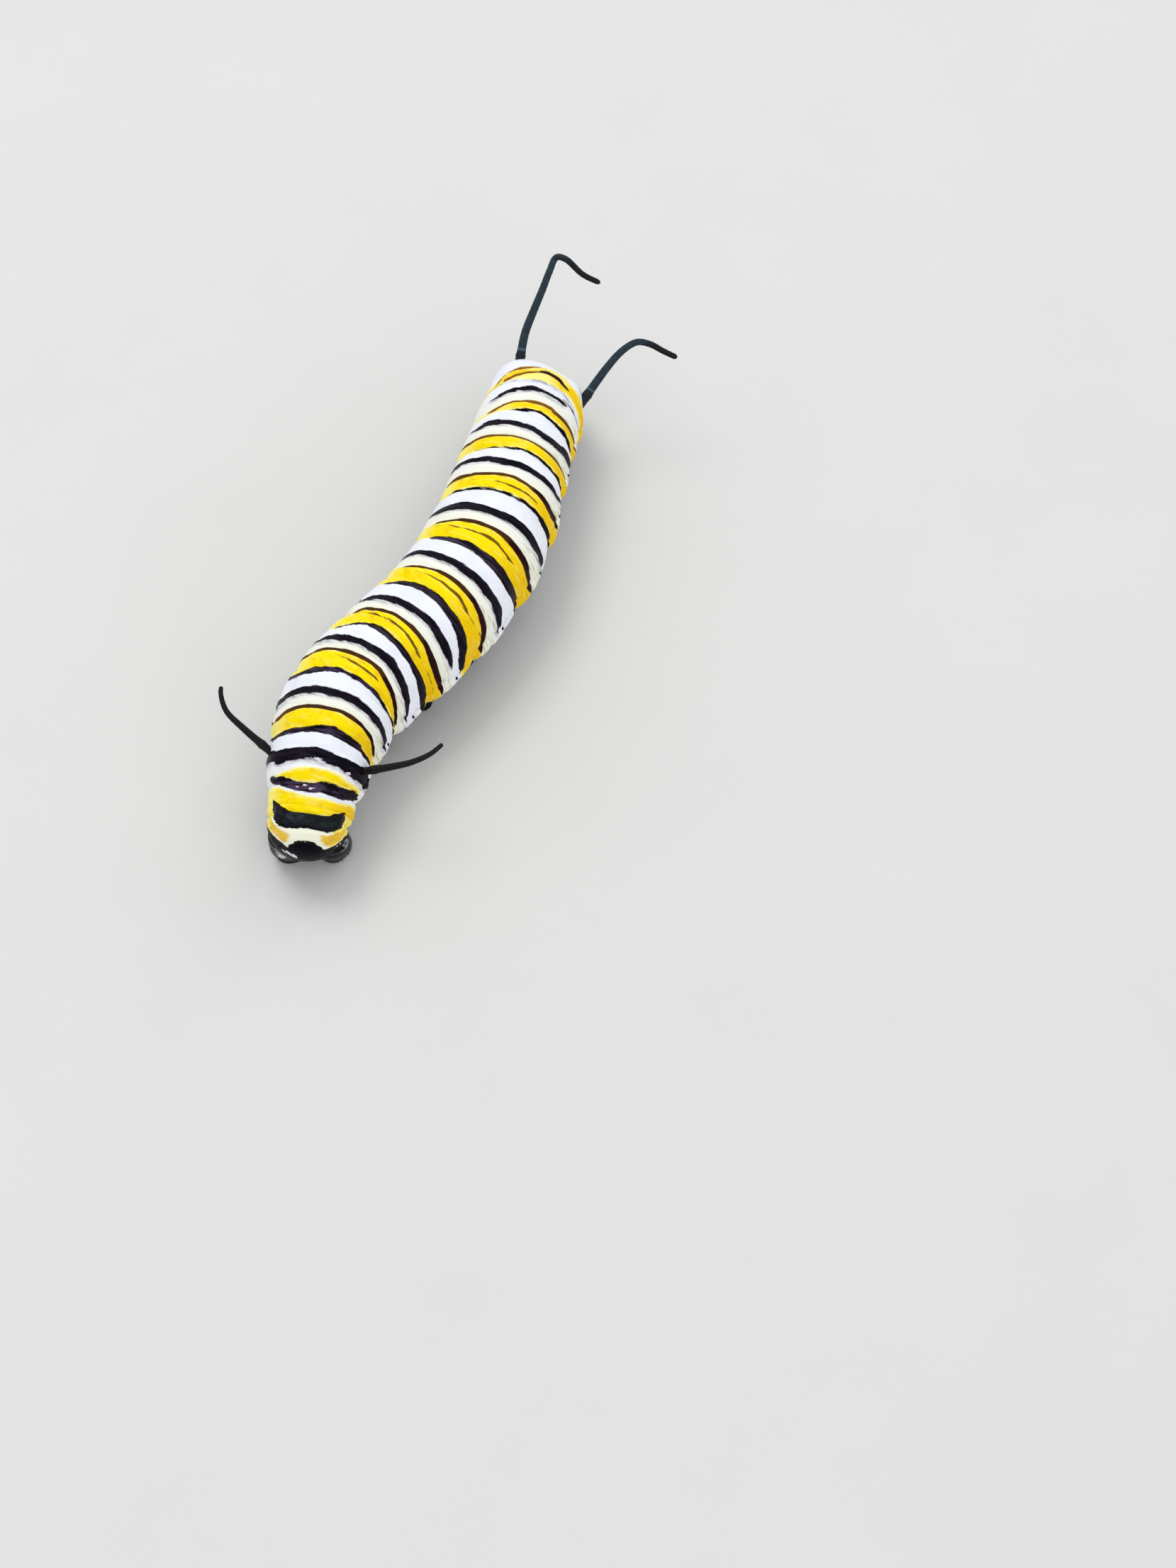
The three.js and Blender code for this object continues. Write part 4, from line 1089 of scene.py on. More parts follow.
def add_tail(fields, places, degrees, turn):
    """The black of the anal shield and below its rim, and the rim's yellow, cream and gold."""
    side, behind = np.abs(degrees), places - STARTS[TAIL]
    rim_front, rim_rear = traced(SHIELD_REAR, turn), traced(RIM_OUTER, turn)
    shield = np.minimum(behind - traced(SHIELD_FRONT, turn), rim_front - behind)
    shield = np.minimum(shield, (62 - np.abs(degrees - 8)) * 0.045)
    grow(fields, "dark", np.where(behind > -1.0, np.maximum(shield, behind - rim_rear), FAR))
    rim = np.minimum(behind - rim_front, rim_rear - behind)
    outer = rise(side, 48, 10)
    yellow = np.where(outer > 0, rim * 0.6 + (outer - 1) * 0.2, FAR)
    yellow = np.where(behind > 0.02, yellow, fields["yellow"])
    cream = np.where(behind > -0.05, 1.0, fields["cream"])
    on_eighth = (places > START["abdomen_8"]) & (behind < -0.6)
    fields["cream"] = np.where(on_eighth, cream * 0.35, cream)
    beside = (behind > -0.5) & (behind < 0.9) & (side > 50)
    fields["yellow"] = np.where(beside, np.maximum(yellow, 0.16), yellow)
    for spot, wide, strength in GOLD_LOBES:
        lobe = np.exp(-(((degrees - spot) / wide) ** 4)) * rise(rim, 0.05, 0.22)
        grow(fields, "amber", np.where(behind > 0, lobe * strength, 0))
    return beside


def add_fade(fields, places, degrees, turn, beside):
    """Where the yellow pales: on the left, as painted light on the lit flank, in the tail's rim and on the
    second segment.
    """
    # Painted light: the yellow pales towards the lit left flank
    lit_left_paling = fall(degrees, -38, 22) * (places > START["abdomen_1"])
    fade = np.where(places - STARTS[TAIL] > 0, 0.6, lit_left_paling)
    fade = np.maximum(np.where(beside, 0.7, fade), fields.pop("spilt"))
    second = (places > START["thorax_2"]) & (places < START["thorax_3"] + 0.1)
    past_line = places - START["thorax_2"] - traced(BANDS["thorax_2"]["thin"], turn)
    rear = np.clip(past_line / 0.12, 0, 1) * np.interp(degrees, [-42, -28, 12, 30], [0.2, 1, 1, 0])
    front = np.clip(-past_line / 0.1, 0, 1) * np.interp(degrees, [-4, 6, 34, 42], [0, 0.9, 0.9, 0])
    fields["fade"] = np.where(second, np.maximum(rear, front), fade)


def add_line_tones(fields, places, degrees):
    """How brown the thin lines are, and how golden the yellow is, deeper towards the right flank as
    painted shade.
    """
    third = START["thorax_3"]
    stations = [third - 0.1, third, START["abdomen_1"] + 0.5, START["abdomen_2"], START["abdomen_3"]]
    ochre = np.interp(places, stations, [0.15, 1.6, 1.6, 1.15, 0.35])
    ochre = ochre - 0.7 * rise(degrees, 36, 6) * np.clip((places - third) / 0.4, 0, 1)
    second = np.interp(degrees, [-45, -12, 0, 8], [1.9, 1.7, 0.7, 0.1])
    ochre = np.where(places < third - 0.05, second, ochre)
    ochre = np.where(places < START["thorax_2"], 0.1, ochre)
    ochre = ochre - 0.5 * fall(degrees, -40, 10) * (places > START["abdomen_1"])
    left_end = fall(degrees, -22, 16) * 0.8 * (places > START["thorax_2"])
    grow(fields, "brown", np.maximum(np.clip(ochre, 0, 2), left_end))
    stations = [third, START["abdomen_1"], START["abdomen_7"], START["abdomen_8"]]
    golden = np.interp(places, stations, [0.45, 0.2, 0.0, 0.2])
    # Deeper gold towards the right flank is painted shade; along the body it is the yellow's own gold
    fields["golden"] = np.maximum(np.interp(degrees, [-70, 20, 50, 80], [0.0, 0.1, 0.5, 0.7]), golden)


def stripe_fields(places, turn):
    """What the skin's material reads at each point: distances in mm to the edges of the markings,
    above zero inside them, and shares of the softer tones."""
    shape = np.broadcast(places, turn).shape
    turn = turn * np.ones(shape)
    degrees = np.degrees(turn)
    fields = {name: np.full(shape, FAR) for name in ("dark", "line", "yellow", "faint", "fleck")}
    for name in ("amber", "cream", "freckle", "violet", "brown", "fringe", "spilt"):
        fields[name] = np.zeros(shape)
    for index, start in enumerate(STARTS):
        at, half = places - start, LENGTHS[index] / 2
        waver = 0.03 * ripple(places * 0.6 + index, turn, 31 + index)
        near = np.abs(at - half) < half + 2
        add_bands(fields, index, at, degrees, turn, waver, near)
        add_yellow(fields, index, at, degrees, turn, waver, near)
    # Painted highlights in the black, on the tail partly pale marks
    for name, spot, back, wide, half in GLINTS_AND_PALE_FLECKS:
        at = places - START[name] - back
        grow(fields, "fleck", (1 - np.hypot((degrees - spot) / wide, at / half)) * half)
    beside = add_tail(fields, places, degrees, turn)
    add_fade(fields, places, degrees, turn, beside)
    add_line_tones(fields, places, degrees)
    within = np.interp(places, np.append(STARTS, BODY_LENGTH), np.arange(len(STARTS) + 1)) % 1
    edge = BELLY_EDGE + 4 * np.cos(2 * np.pi * within) + 3 * ripple(places, turn, 91)
    fields["belly"] = (np.abs(degrees) - edge) * MM_PER_DEGREE
    fields["around"] = turn * MEAN_RADIUS
    fields["along"] = places * np.ones(shape)
    return fields


def neck_rings(first_ring):
    """Rings that round the skin inwards at the neck, where the head comes out."""
    centre, forward, _, _ = frame_at(np.array([0.0]))
    rings = []
    for row in range(NECK_ROWS, 0, -1):
        angle = row / NECK_ROWS * np.pi / 2
        inward = 1 - 0.5 * (1 - math.cos(angle))
        ahead = 0.22 * math.sin(angle) * math.cos(angle) - 0.25 * (1 - math.cos(angle))
        rings.append(centre[0] + (first_ring - centre[0]) * inward + forward[0] * ahead)
    return np.array(rings)


def build_skin(scene):
    places = skin_rows()
    turn = np.linspace(-np.pi, np.pi, SKIN_SIDES, endpoint=False)
    grid = body_spot(*np.meshgrid(places, turn, indexing="ij"))
    points, faces = closed_tube(np.concatenate([neck_rings(grid[0]), grid]))
    material = bpy.data.materials.get("ringed_skin") or skin_material(scene.larva_skin)
    skin = make_object("skin", points, faces, material)
    all_places = np.concatenate([np.zeros(NECK_ROWS), places])
    for name, values in stripe_fields(*np.meshgrid(all_places, turn, indexing="ij")).items():
        add_field(skin, name, np.concatenate([values.ravel(), [values[0].mean(), values[-1].mean()]]))
    add_bake_map(skin, len(all_places), SKIN_SIDES)
    return settle(skin, "skin", *NAMES)


def add_bake_map(piece, rows, sides):
    """Unrolls the skin into one sheet: around the body across it, along the body up it."""
    mesh = piece.data
    layer = mesh.uv_layers.new(name="OFBake")
    corners = np.zeros(len(mesh.loops), np.int64)
    mesh.loops.foreach_get("vertex_index", corners)
    last = rows * sides
    at_pole = corners >= last
    row = np.where(at_pole, np.where(corners == last, 0, rows - 1), corners // sides)
    across = np.where(at_pole, 0, corners % sides) / sides
    totals = np.zeros(len(mesh.polygons), np.int64)
    mesh.polygons.foreach_get("loop_total", totals)
    owner = np.repeat(np.arange(len(totals)), totals)
    widest = np.full(len(totals), -1.0)
    np.maximum.at(widest, owner[~at_pole], across[~at_pole])
    wraps = (widest[owner] > 0.9) & (across < 0.1) & ~at_pole
    across = np.where(at_pole, widest[owner], np.where(wraps, across + 1, across))
    low, span = BAKE_MARGIN, 1 - 2 * BAKE_MARGIN
    uv = np.stack([low + span * across / (1 + 1 / sides), low + span * (row / (rows - 1))], -1)
    layer.data.foreach_set("uv", uv.astype(np.float32).ravel())


# Anal shield


# The shield's front and rear edges: turn where each begins and how far it goes, in degrees
SHIELD_SPANS = {"front": (-59, 127), "rear": (-48.5, 119)}
SHIELD_ROWS, SHIELD_COLUMNS = 61, 25
# How far the shield stands off the skin and how deep it is sunk, in mm
SHIELD_LIFT, SHIELD_DEPTH = 0.12, 0.16


def slab_faces(rows, columns):
    """Faces of a slab whose upper points come first and its lower ones after them."""
    count = rows * columns
    faces = []
    for i in range(rows - 1):
        for j in range(columns - 1):
            a, b = i * columns + j, (i + 1) * columns + j
            faces.append((a, a + 1, b + 1, b))
            faces.append((count + a, count + b, count + b + 1, count + a + 1))
    edge = [i * columns for i in range(rows)] + [(rows - 1) * columns + j for j in range(1, columns)]
    edge += [i * columns + columns - 1 for i in range(rows - 2, -1, -1)]
    edge += list(range(columns - 2, 0, -1))
    for a, b in zip(edge, edge[1:] + edge[:1]):
        faces.append((a, b, count + b, count + a))
    return faces


def build_shield():
    across, along = np.meshgrid(np.linspace(0, 1, SHIELD_ROWS), np.linspace(0, 1, SHIELD_COLUMNS),
                                indexing="ij")
    front_turn, rear_turn = [np.radians(begin + span * across) for begin, span in SHIELD_SPANS.values()]
    front = traced(SHIELD_FRONT, front_turn) + 0.04 * np.sin(across * 9)
    rear = traced(SHIELD_REAR, rear_turn)
    turn = front_turn + (rear_turn - front_turn) * along
    places = STARTS[TAIL] + front + (rear - front) * along
    rim = (1 - np.abs(2 * across - 1) ** 12) * (1 - np.abs(2 * along - 1) ** 6)
    dents = 0.02 * ripple(places * 4, turn * 3, 17) * rim
    outer = body_spot(places, turn, beyond=fold_depth(places, turn) * 0.9, detail=False)
    lift = SHIELD_LIFT * rim - 0.05 + dents
    _, _, right, up = frame_at(places)
    facing = np.sin(turn)[..., None] * right + np.cos(turn)[..., None] * up
    upper, lower = outer + facing * lift[..., None], outer - facing * SHIELD_DEPTH
    points = np.vstack([upper.reshape(-1, 3), lower.reshape(-1, 3)])
    faces = slab_faces(SHIELD_ROWS, SHIELD_COLUMNS)
    shield = make_object("anal_shield_plate", points, faces, plate("shield_plate"))
    # Painted sheen: two lighter patches on the black shield
    painted_sheen = np.exp(-(((across - 0.27) / 0.24) ** 2) - ((along - 0.42) / 0.28) ** 2)
    painted_sheen = painted_sheen + 0.45 * np.exp(-(((across - 0.72) / 0.2) ** 2) - ((along - 0.55) / 0.25) ** 2)
    paint_patches(shield, np.concatenate([painted_sheen.ravel(), painted_sheen.ravel()]))
    return settle(shield, "black", "anal_shield")


# Filaments

# Each pair: how deep its roots are sunk in mm, its taper as a share and its slot
FILAMENTS = {"front": (1.15, 0.62, "filament"), "rear": (0.9, 0.55, "black")}
FILAMENT_SIDES, FILAMENT_ROWS = 20, 110
# Points to the left of, behind and above the neck, in mm
FRONT_LEFT = [(1.85, -0.7, 3.65), (2, -1.85, 4.55), (1.9, -2.95, 5.4), (1.75, -4.1, 6.3),
              (1.66, -4.95, 7), (1.5, -5.7, 7.58), (0.9, -5.72, 7.65), (-0.35, -5.35, 7.2),
              (-1.55, -5.3, 6.95)]
FRONT_RIGHT = [(-2.85, 0.15, 3.05), (-3.2, -0.65, 3.7), (-3.6, -1.4, 4.4), (-4.05, -2.15, 5),
               (-4.56, -2.74, 5.39), (-4.95, -3, 5.52), (-5.65, -3.15, 5.45), (-6.5, -3.1, 5.26),
               (-7.45, -3.05, 5.1)]
REAR_LEFT = [(4.4, 30.95, 3.65), (5.6, 30.75, 4.35), (6.8, 30.4, 5), (7.4, 29.75, 5.45),
             (7.55, 29.35, 5.65)]
REAR_RIGHT = [(-1.95, 29.9, 3.25), (-3, 29.6, 3.75), (-4, 29.2, 4.2), (-4.9, 28.6, 4.7),
              (-5.4, 27.9, 5.05)]


def filament_path(controls, depth):
    """The points of a filament with a straight root sunk into the body."""
    spots = [NECK + np.array(spot) for spot in controls]
    first, second = spots[0], spots[1]
    inward = (first - second) / np.linalg.norm(first - second)
    return [first + inward * depth, first + inward * depth / 2] + spots


def build_filament(name, controls, kind, width, material, nodes, seed):
    """A tapering curved horn whose root is sunk into the skin."""
    depth, taper, slot = FILAMENTS[kind]
    centres = curve_points(filament_path(controls, depth), FILAMENT_ROWS)
    run = run_along(centres) - depth
    share = np.clip(run / run[-1], 0, 1)
    radii = width / 2 * (1 - (1 - taper) * share)
    flare = 1 + 0.16 * np.exp(-(((run - 0.05) / 0.22) ** 2))
    radii = radii * flare * (1 + 0.018 * np.sin(run * 21) + 0.012 * np.sin(run * 47 + seed))
    points, faces = tube(centres, rounded(radii, 0.035), FILAMENT_SIDES)
    piece = make_object(name, points, faces, material)
    fade = rise(share, 0.62, 0.16)
    for field, values, ends in (("run", run, [run[0], run[-1]]), ("tip", fade, [0.0, 1.0])):
        add_field(piece, field, np.concatenate([np.repeat(values, FILAMENT_SIDES), ends]))
    return settle(piece, slot, *nodes)


def build_filaments(scene):
    look, made = scene.larva_horns, bpy.data.materials
    front = made.get("front_horn") or filament_material("front_horn", look.front_colour, look.tip_colour)
    rear = made.get("rear_horn") or filament_material("rear_horn", look.tip_colour)
    pairs = {"left": (FRONT_LEFT, REAR_LEFT), "right": (FRONT_RIGHT, REAR_RIGHT)}
    for number, (side, (ahead, behind)) in enumerate(pairs.items()):
        solids = (f"front_filament_{side}_base", f"front_filament_{side}_tip")
        build_filament(f"front_horn_{side}", ahead, "front", look.front_width / MM, front, solids, number)
        solids = (f"rear_filament_{side}",)
        build_filament(f"rear_horn_{side}", behind, "rear", look.rear_width / MM, rear, solids, number + 2)


# Prolegs

PROLEG_SEGMENTS = (5, 6, 7, 8)
# Place along the segment and depth of the root as shares, its turn in degrees, and how far out
# and behind the middle of the sole lies on each side, in mm
PROLEG = {"share": 0.55, "turn": 142, "root": 0.65, "feet": {1: (0.95, 0.0), -1: (0.95, 0.0)}}
ANAL = {"share": 0.3, "turn": 125, "root": 0.7, "feet": {1: (1.15, -0.6), -1: (1.2, -0.25)}}
# Pale patches of the anal prolegs, partly pale marks and partly painted highlights: offset from the middle
# of the sole and reach, in mm
ANAL_MARKS_AND_HIGHLIGHTS = {-1: [((-0.6, 1.45, 2.3), 0.55), ((-0.15, 1.55, 1.8), 0.34)],
                1: [((-1.35, 0.85, 2.75), 0.22), ((-1.35, 1.25, 2.5), 0.13)]}
# Height as a share from the floor to the root, and radius in mm
PROLEG_RINGS = [(1, 1.0), (0.7, 1.02), (0.5, 0.96), (0.36, 0.85), (0.26, 0.72), (0.17, 0.66),
                (0.08, 0.76), (0.03, 0.74), (0, 0.62)]
ANAL_RINGS = [(1, 1.05), (0.7, 1.12), (0.5, 1.12), (0.33, 1.05), (0.2, 0.92), (0.1, 0.96),
              (0.04, 0.92), (0, 0.78)]
PROLEG_SIDES, CROCHET_COUNT = 40, 30


def proleg_line(plan, segment, side):
    """The root and the middle of the sole of one proleg; side is 1 on the right."""
    place = np.array([STARTS[segment] + plan["share"] * LENGTHS[segment]])
    _, forward, right, _ = frame_at(place)
    root = body_spot(place, np.radians([side * plan["turn"]]), share=plan["root"], detail=False)[0]
    sole = body_spot(place, np.array([np.pi]), detail=False)[0]
    out, behind = plan["feet"][side]
    sole = sole + right[0] * side * out - forward[0] * behind
    sole[2] = 0.0
    return root, sole, right[0] * side


def proleg_grid(root, sole, rings, outward, seed):
    """Rings of one proleg from its root down to the flat of its sole."""
    shares, radii = np.array(rings)[::-1].T
    heights = np.concatenate([np.linspace(1, 0.3, 26), np.linspace(0.29, 0.0, 26)])
    angles = circle(PROLEG_SIDES)
    ring = np.stack([np.cos(angles), -np.sin(angles), 0 * angles], -1)
    facing = np.clip(ring @ (outward / np.linalg.norm(outward)), 0, 1)
    grid = []
    for height in heights:
        radius = np.interp(np.linspace(height - 0.03, height + 0.03, 7), shares, radii).mean()
        if height < 0.02:
            radius = np.interp(height, shares, radii)
        centre = sole + (root - sole) * height
        wave = height * 22 + 1.2 * np.sin(angles + seed) + 0.6 * np.sin(angles * 3 + seed * 2)
        pleats = 0.03 * np.sin(wave) * (0.6 + 0.4 * np.sin(angles * 2 + height * 7))
        pleats = pleats * np.clip((height - 0.1) * 4, 0, 1)
        pad = 0.04 * np.cos(angles * 3 + seed) * np.exp(-((height - 0.06) / 0.05) ** 2)
        shield = 0.06 * facing**2 * np.exp(-((height - 0.4) / 0.13) ** 2)
        grid.append(centre + ring * (radius + pleats + pad + shield)[:, None])
    return np.array(grid)


def crochets(sole, radius, seed):
    """A ring of small hooks around the inner edge of one sole."""
    random = np.random.default_rng(seed)
    parts = []
    for angle in circle(CROCHET_COUNT):
        out = np.array([math.cos(angle), math.sin(angle), 0.0])
        root = sole + out * (radius + random.uniform(-0.02, 0.02)) + np.array([0, 0, 0.13])
        down, bend = out * 0.6 + np.array([0, 0, -0.55]), np.array([0, 0, -0.1]) - out * 0.15
        parts.append(bristle(root, down, random.uniform(0.14, 0.18), 0.022, bend))
    return parts


def proleg_piece(name, finish, plan, rings, segment, side, seed):
    """One proleg as a piece, with its points and the middle of its sole."""
    root, sole, outward = proleg_line(plan, segment, side)
    points, faces = closed_tube(proleg_grid(root, sole, rings, outward, seed))
    return make_object(name, points, faces, plate(finish)), points, sole


def build_prolegs():
    hooks = []
    for segment in PROLEG_SEGMENTS:
        for side, word in SIDES:
            node = f"proleg_{segment - 2}_{word}"
            leg, _, sole = proleg_piece(f"{node}_flesh", "black_plate", PROLEG, PROLEG_RINGS, segment,
                                        side, segment + side)
            settle(leg, "black", node)
            hooks += crochets(sole, 0.6, segment * 2 + side)
    for side, word in SIDES:
        node = f"anal_proleg_{word}"
        leg, points, sole = proleg_piece(f"{node}_flesh", "blotched_plate", ANAL, ANAL_RINGS, TAIL,
                                         side, 30 + side)
        # Pale patches, partly marks of the skin and partly painted highlights
        patch = np.zeros(len(points))
        for offset, reach in ANAL_MARKS_AND_HIGHLIGHTS[side]:
            away = np.linalg.norm(points - sole - np.array(offset), axis=1)
            patch = np.maximum(patch, np.clip(1.6 - away / reach, 0, 1))
        paint_patches(leg, patch)
        settle(leg, "black", node)
        hooks += crochets(sole, 0.76, 40 + side)
    settle(make_object("crochets", *merge(hooks), plate("hook_amber")), "black")


# True legs

# Radii of a leg in mm from its root to its end, and its joints as shares of its length
LEG_RADII = [0.5, 0.5, 0.5, 0.42, 0.34, 0.37, 0.3, 0.25, 0.27, 0.2, 0.12]
LEG_JOINTS = (0.42, 0.62, 0.82)
LEG_TURN = 148
LEG_ROWS, CLAW_ROWS = 90, 14
# Heights in mm: the flat cut from the claws, the end of the leg and the tip of the claw
CLAW_FLAT, LEG_END, CLAW_TIP = 0.02, 0.16, 0.012
# Segment, then knee and foot in mm to the side, behind the neck and up
LEGS = [(0, (1.15, 1.7, 1.0), (0.95, 1.5, 0)), (1, (1.6, 2.85, 1.15), (1.5, 2.75, 0)),
        (2, (2.0, 4.2, 1.25), (1.95, 4.15, 0))]


def leg_radii(share):
    """Thickness along a leg, pinched at its joints and swollen just above them."""
    radii = np.interp(share, np.linspace(0, 1, len(LEG_RADII)), LEG_RADII) * 0.97
    for joint in LEG_JOINTS:
        radii = radii * (1 - 0.16 * np.exp(-(((share - joint) / 0.016) ** 2)))
        radii = radii * (1 + 0.07 * np.exp(-(((share - joint + 0.05) / 0.03) ** 2)))
    return radii


def claw(root, side):
    """A small hook from the end of a leg to just above the floor."""
    inward = np.array([side * 0.35, 0.15, -1.0])
    length = root[2] - CLAW_TIP
    bend = root + inward * length * 0.5 + [-side * 0.05, 0, 0]
    end = np.array([root[0] + side * 0.06, root[1], CLAW_TIP])
    line = curve_points([root + [0, 0, 0.06], bend, end], CLAW_ROWS)
    return tube(line, np.linspace(0.075, 0.012, CLAW_ROWS), 10)


def build_legs():
    share = np.linspace(0, 1, LEG_ROWS)
    radii = leg_radii(share)
    for pair, (segment, knee, foot) in enumerate(LEGS, start=1):
        place = np.array([STARTS[segment] + LENGTHS[segment] / 2])
        for side, word in SIDES:
            turn = np.radians([side * LEG_TURN])
            root = body_spot(place, turn, share=0.6, detail=False)[0]
            coxa = body_spot(place, turn, detail=False)[0]
            bends = [np.array([NECK[0] - side * out, NECK[1] + behind, high - CLAW_FLAT])
                     for out, behind, high in (knee, foot)]
            centres = curve_points([root, coxa, *bends], LEG_ROWS)
            keep = centres[:, 2] > LEG_END
            mesh = tube(centres[keep], rounded(radii[keep], 0.06), 24)
            leg = make_object(f"leg_{pair}_{word}", *mesh, plate("leg_horn"))
            settle(leg, "black", f"true_leg_{pair}_{word}")
            hook = claw(centres[keep][-1], side)
            settle(make_object(f"claw_{pair}_{word}", *hook, plate("hook_amber")), "black")


# Head

# The head's middle in mm ahead of the neck, its turn and dip in degrees and half sizes in mm
HEAD_REACH = 0.6
HEAD_TURN, HEAD_DIP = 2, 66
HEAD_HALF = (1.65, 1.22, 1.48)
# The groove over the crown: its depth in mm and its half width as a share of the head's
CLEFT = (0.16, 0.14)
CHIN_NARROWING = 0.14
# The simple eyes of one cheek, as directions to the side, ahead and up
STEMMATA = [(0.86, 0.34, -0.14), (0.8, 0.48, -0.2), (0.76, 0.54, -0.34), (0.76, 0.48, -0.48),
            (0.82, 0.34, -0.52), (0.9, 0.2, -0.38)]


def head_frame():
    turn, dip = math.radians(HEAD_TURN), math.radians(HEAD_DIP)
    level = math.cos(dip)
    forward = np.array([-math.sin(turn) * level, -math.cos(turn) * level, -math.sin(dip)])
    right = np.cross(forward, [0.0, 0.0, 1.0])
    right /= np.linalg.norm(right)
    centre = NECK + forward_at(np.array([0.0]))[0] * HEAD_REACH
    return centre, np.stack([right, forward, np.cross(right, forward)])


HEAD_CENTRE, HEAD_AXES = head_frame()


def in_head(points):
    return HEAD_CENTRE + np.asarray(points, float) @ HEAD_AXES


def head_spot(directions, beyond=0.0, detail=True):
    """Points on the head for directions to its right, front and crown."""
    unit = np.asarray(directions, float)
    unit = unit / np.linalg.norm(unit, axis=-1, keepdims=True)
    x, y, z = unit[..., 0], unit[..., 1], unit[..., 2]
    crown = np.clip((z + 0.3) / 0.7, 0, 1)
    crown = crown**2 * (3 - 2 * crown)
    cleft = CLEFT[0] * np.exp(-((x / CLEFT[1]) ** 2)) * crown
    if detail:
        cleft = cleft + 0.07 * np.exp(-((x / 0.025) ** 2)) * np.clip((z + 0.05) / 0.1, 0, 1) * (y > -0.4)
        frons = np.abs(np.abs(x) - 0.42 * np.clip(0.14 - z, 0, 1))
        cleft = cleft + 0.05 * np.exp(-((frons / 0.028) ** 2)) * (y > 0) * (z < 0.16) * (z > -0.72)
        cleft = cleft - 0.05 * np.exp(-((np.hypot(x, (z + 0.42) * 0.8) / 0.2) ** 2)) * (y > 0)
    chin = 1 - CHIN_NARROWING * np.maximum(-z, 0)
    local = np.stack([x * (HEAD_HALF[0] + beyond) * chin, y * (HEAD_HALF[1] + beyond - cleft),
                      z * (HEAD_HALF[2] + beyond - cleft)], -1)
    return in_head(local)


def arc_field(x, y, z):
    """Signed distance, in shares of the head's size, to the two pale arcs on the face."""
    front = np.clip((y + 0.15) * 4, -1, 1)
    outer_radius = np.hypot(x / 0.8, (z - 0.02) / 0.72)
    outer = 0.075 - np.abs(outer_radius - 0.92)
    outer = np.where(z < -0.62, -0.2, outer)
    inner_line = np.abs(x) - (0.12 + 0.5 * np.clip(0.3 - z, 0, 1.2))
    inner = 0.055 - np.abs(inner_line) * 0.85
    inner = np.where((z > 0.34) | (z < -0.66), -0.2, inner)
    top = 0.05 - np.hypot(np.abs(x) * 0.6, (z - 0.32) * 1.2) + 0.02
    return np.minimum(np.maximum(np.maximum(outer, inner), top), front * 0.3)


def build_head(scene):
    made = bpy.data.materials
    unit = sphere_directions(130, 200, 0.004)
    points, faces = closed_ball(head_spot(unit))
    shell = made.get("head_shell") or head_material(scene.larva_head)
    head = make_object("head_shell", points, faces, shell)
    field = arc_field(unit[..., 0], unit[..., 1], unit[..., 2]).ravel()
    add_field(head, "arcs", np.concatenate([field, [-0.5, -0.5]]))
    settle(head, "head", "head")

    beads = []
    for side in (-1, 1):
        for across, ahead, up in STEMMATA:
            spot = np.array([side * across, ahead, up])
            beads.append(bead(head_spot(spot, -0.05, detail=False), 0.15))
    lens = made.get("eye_lens") or eye_material()
    settle(make_object("eyes", *merge(beads), lens), "head")
    build_face_parts()


def bead(centre, radius, squash=(1, 1, 1), axes=None, rows=12, sides=18):
    unit = sphere_directions(rows, sides, 0.02) * radius * np.array(squash)
    if axes is not None:
        unit = unit @ axes
    return closed_ball(centre + unit)


# The antenna's line from the head, in mm to the side, ahead and up, and its radii by share
ANTENNA_LINE = [(0.92, 0.5, -0.86), (1.2, 0.78, -0.98), (1.4, 0.95, -1.06), (1.55, 1.05, -1.1)]
ANTENNA_SHARES = [0, 0.42, 0.45, 0.5, 0.72, 0.75, 0.8, 0.97, 1]
ANTENNA_RADII = [0.27, 0.26, 0.2, 0.2, 0.19, 0.13, 0.13, 0.11, 0.03]
PALP_LINE = [(0.3, 0.3, -1.35), (0.42, 0.24, -1.62), (0.44, 0.22, -1.82)]
SPINNERET_LINE = [(0, 0.3, -1.3), (0, 0.25, -1.62), (0, 0.3, -1.86)]
TEETH = 4


def face_limb(line, side, radii, sides):
    """A tube in the head's frame, on the side that is 1 for the right."""
    spots = in_head([(side * across, ahead, up) for across, ahead, up in line])
    return tube(curve_points(spots, len(radii)), radii, sides)


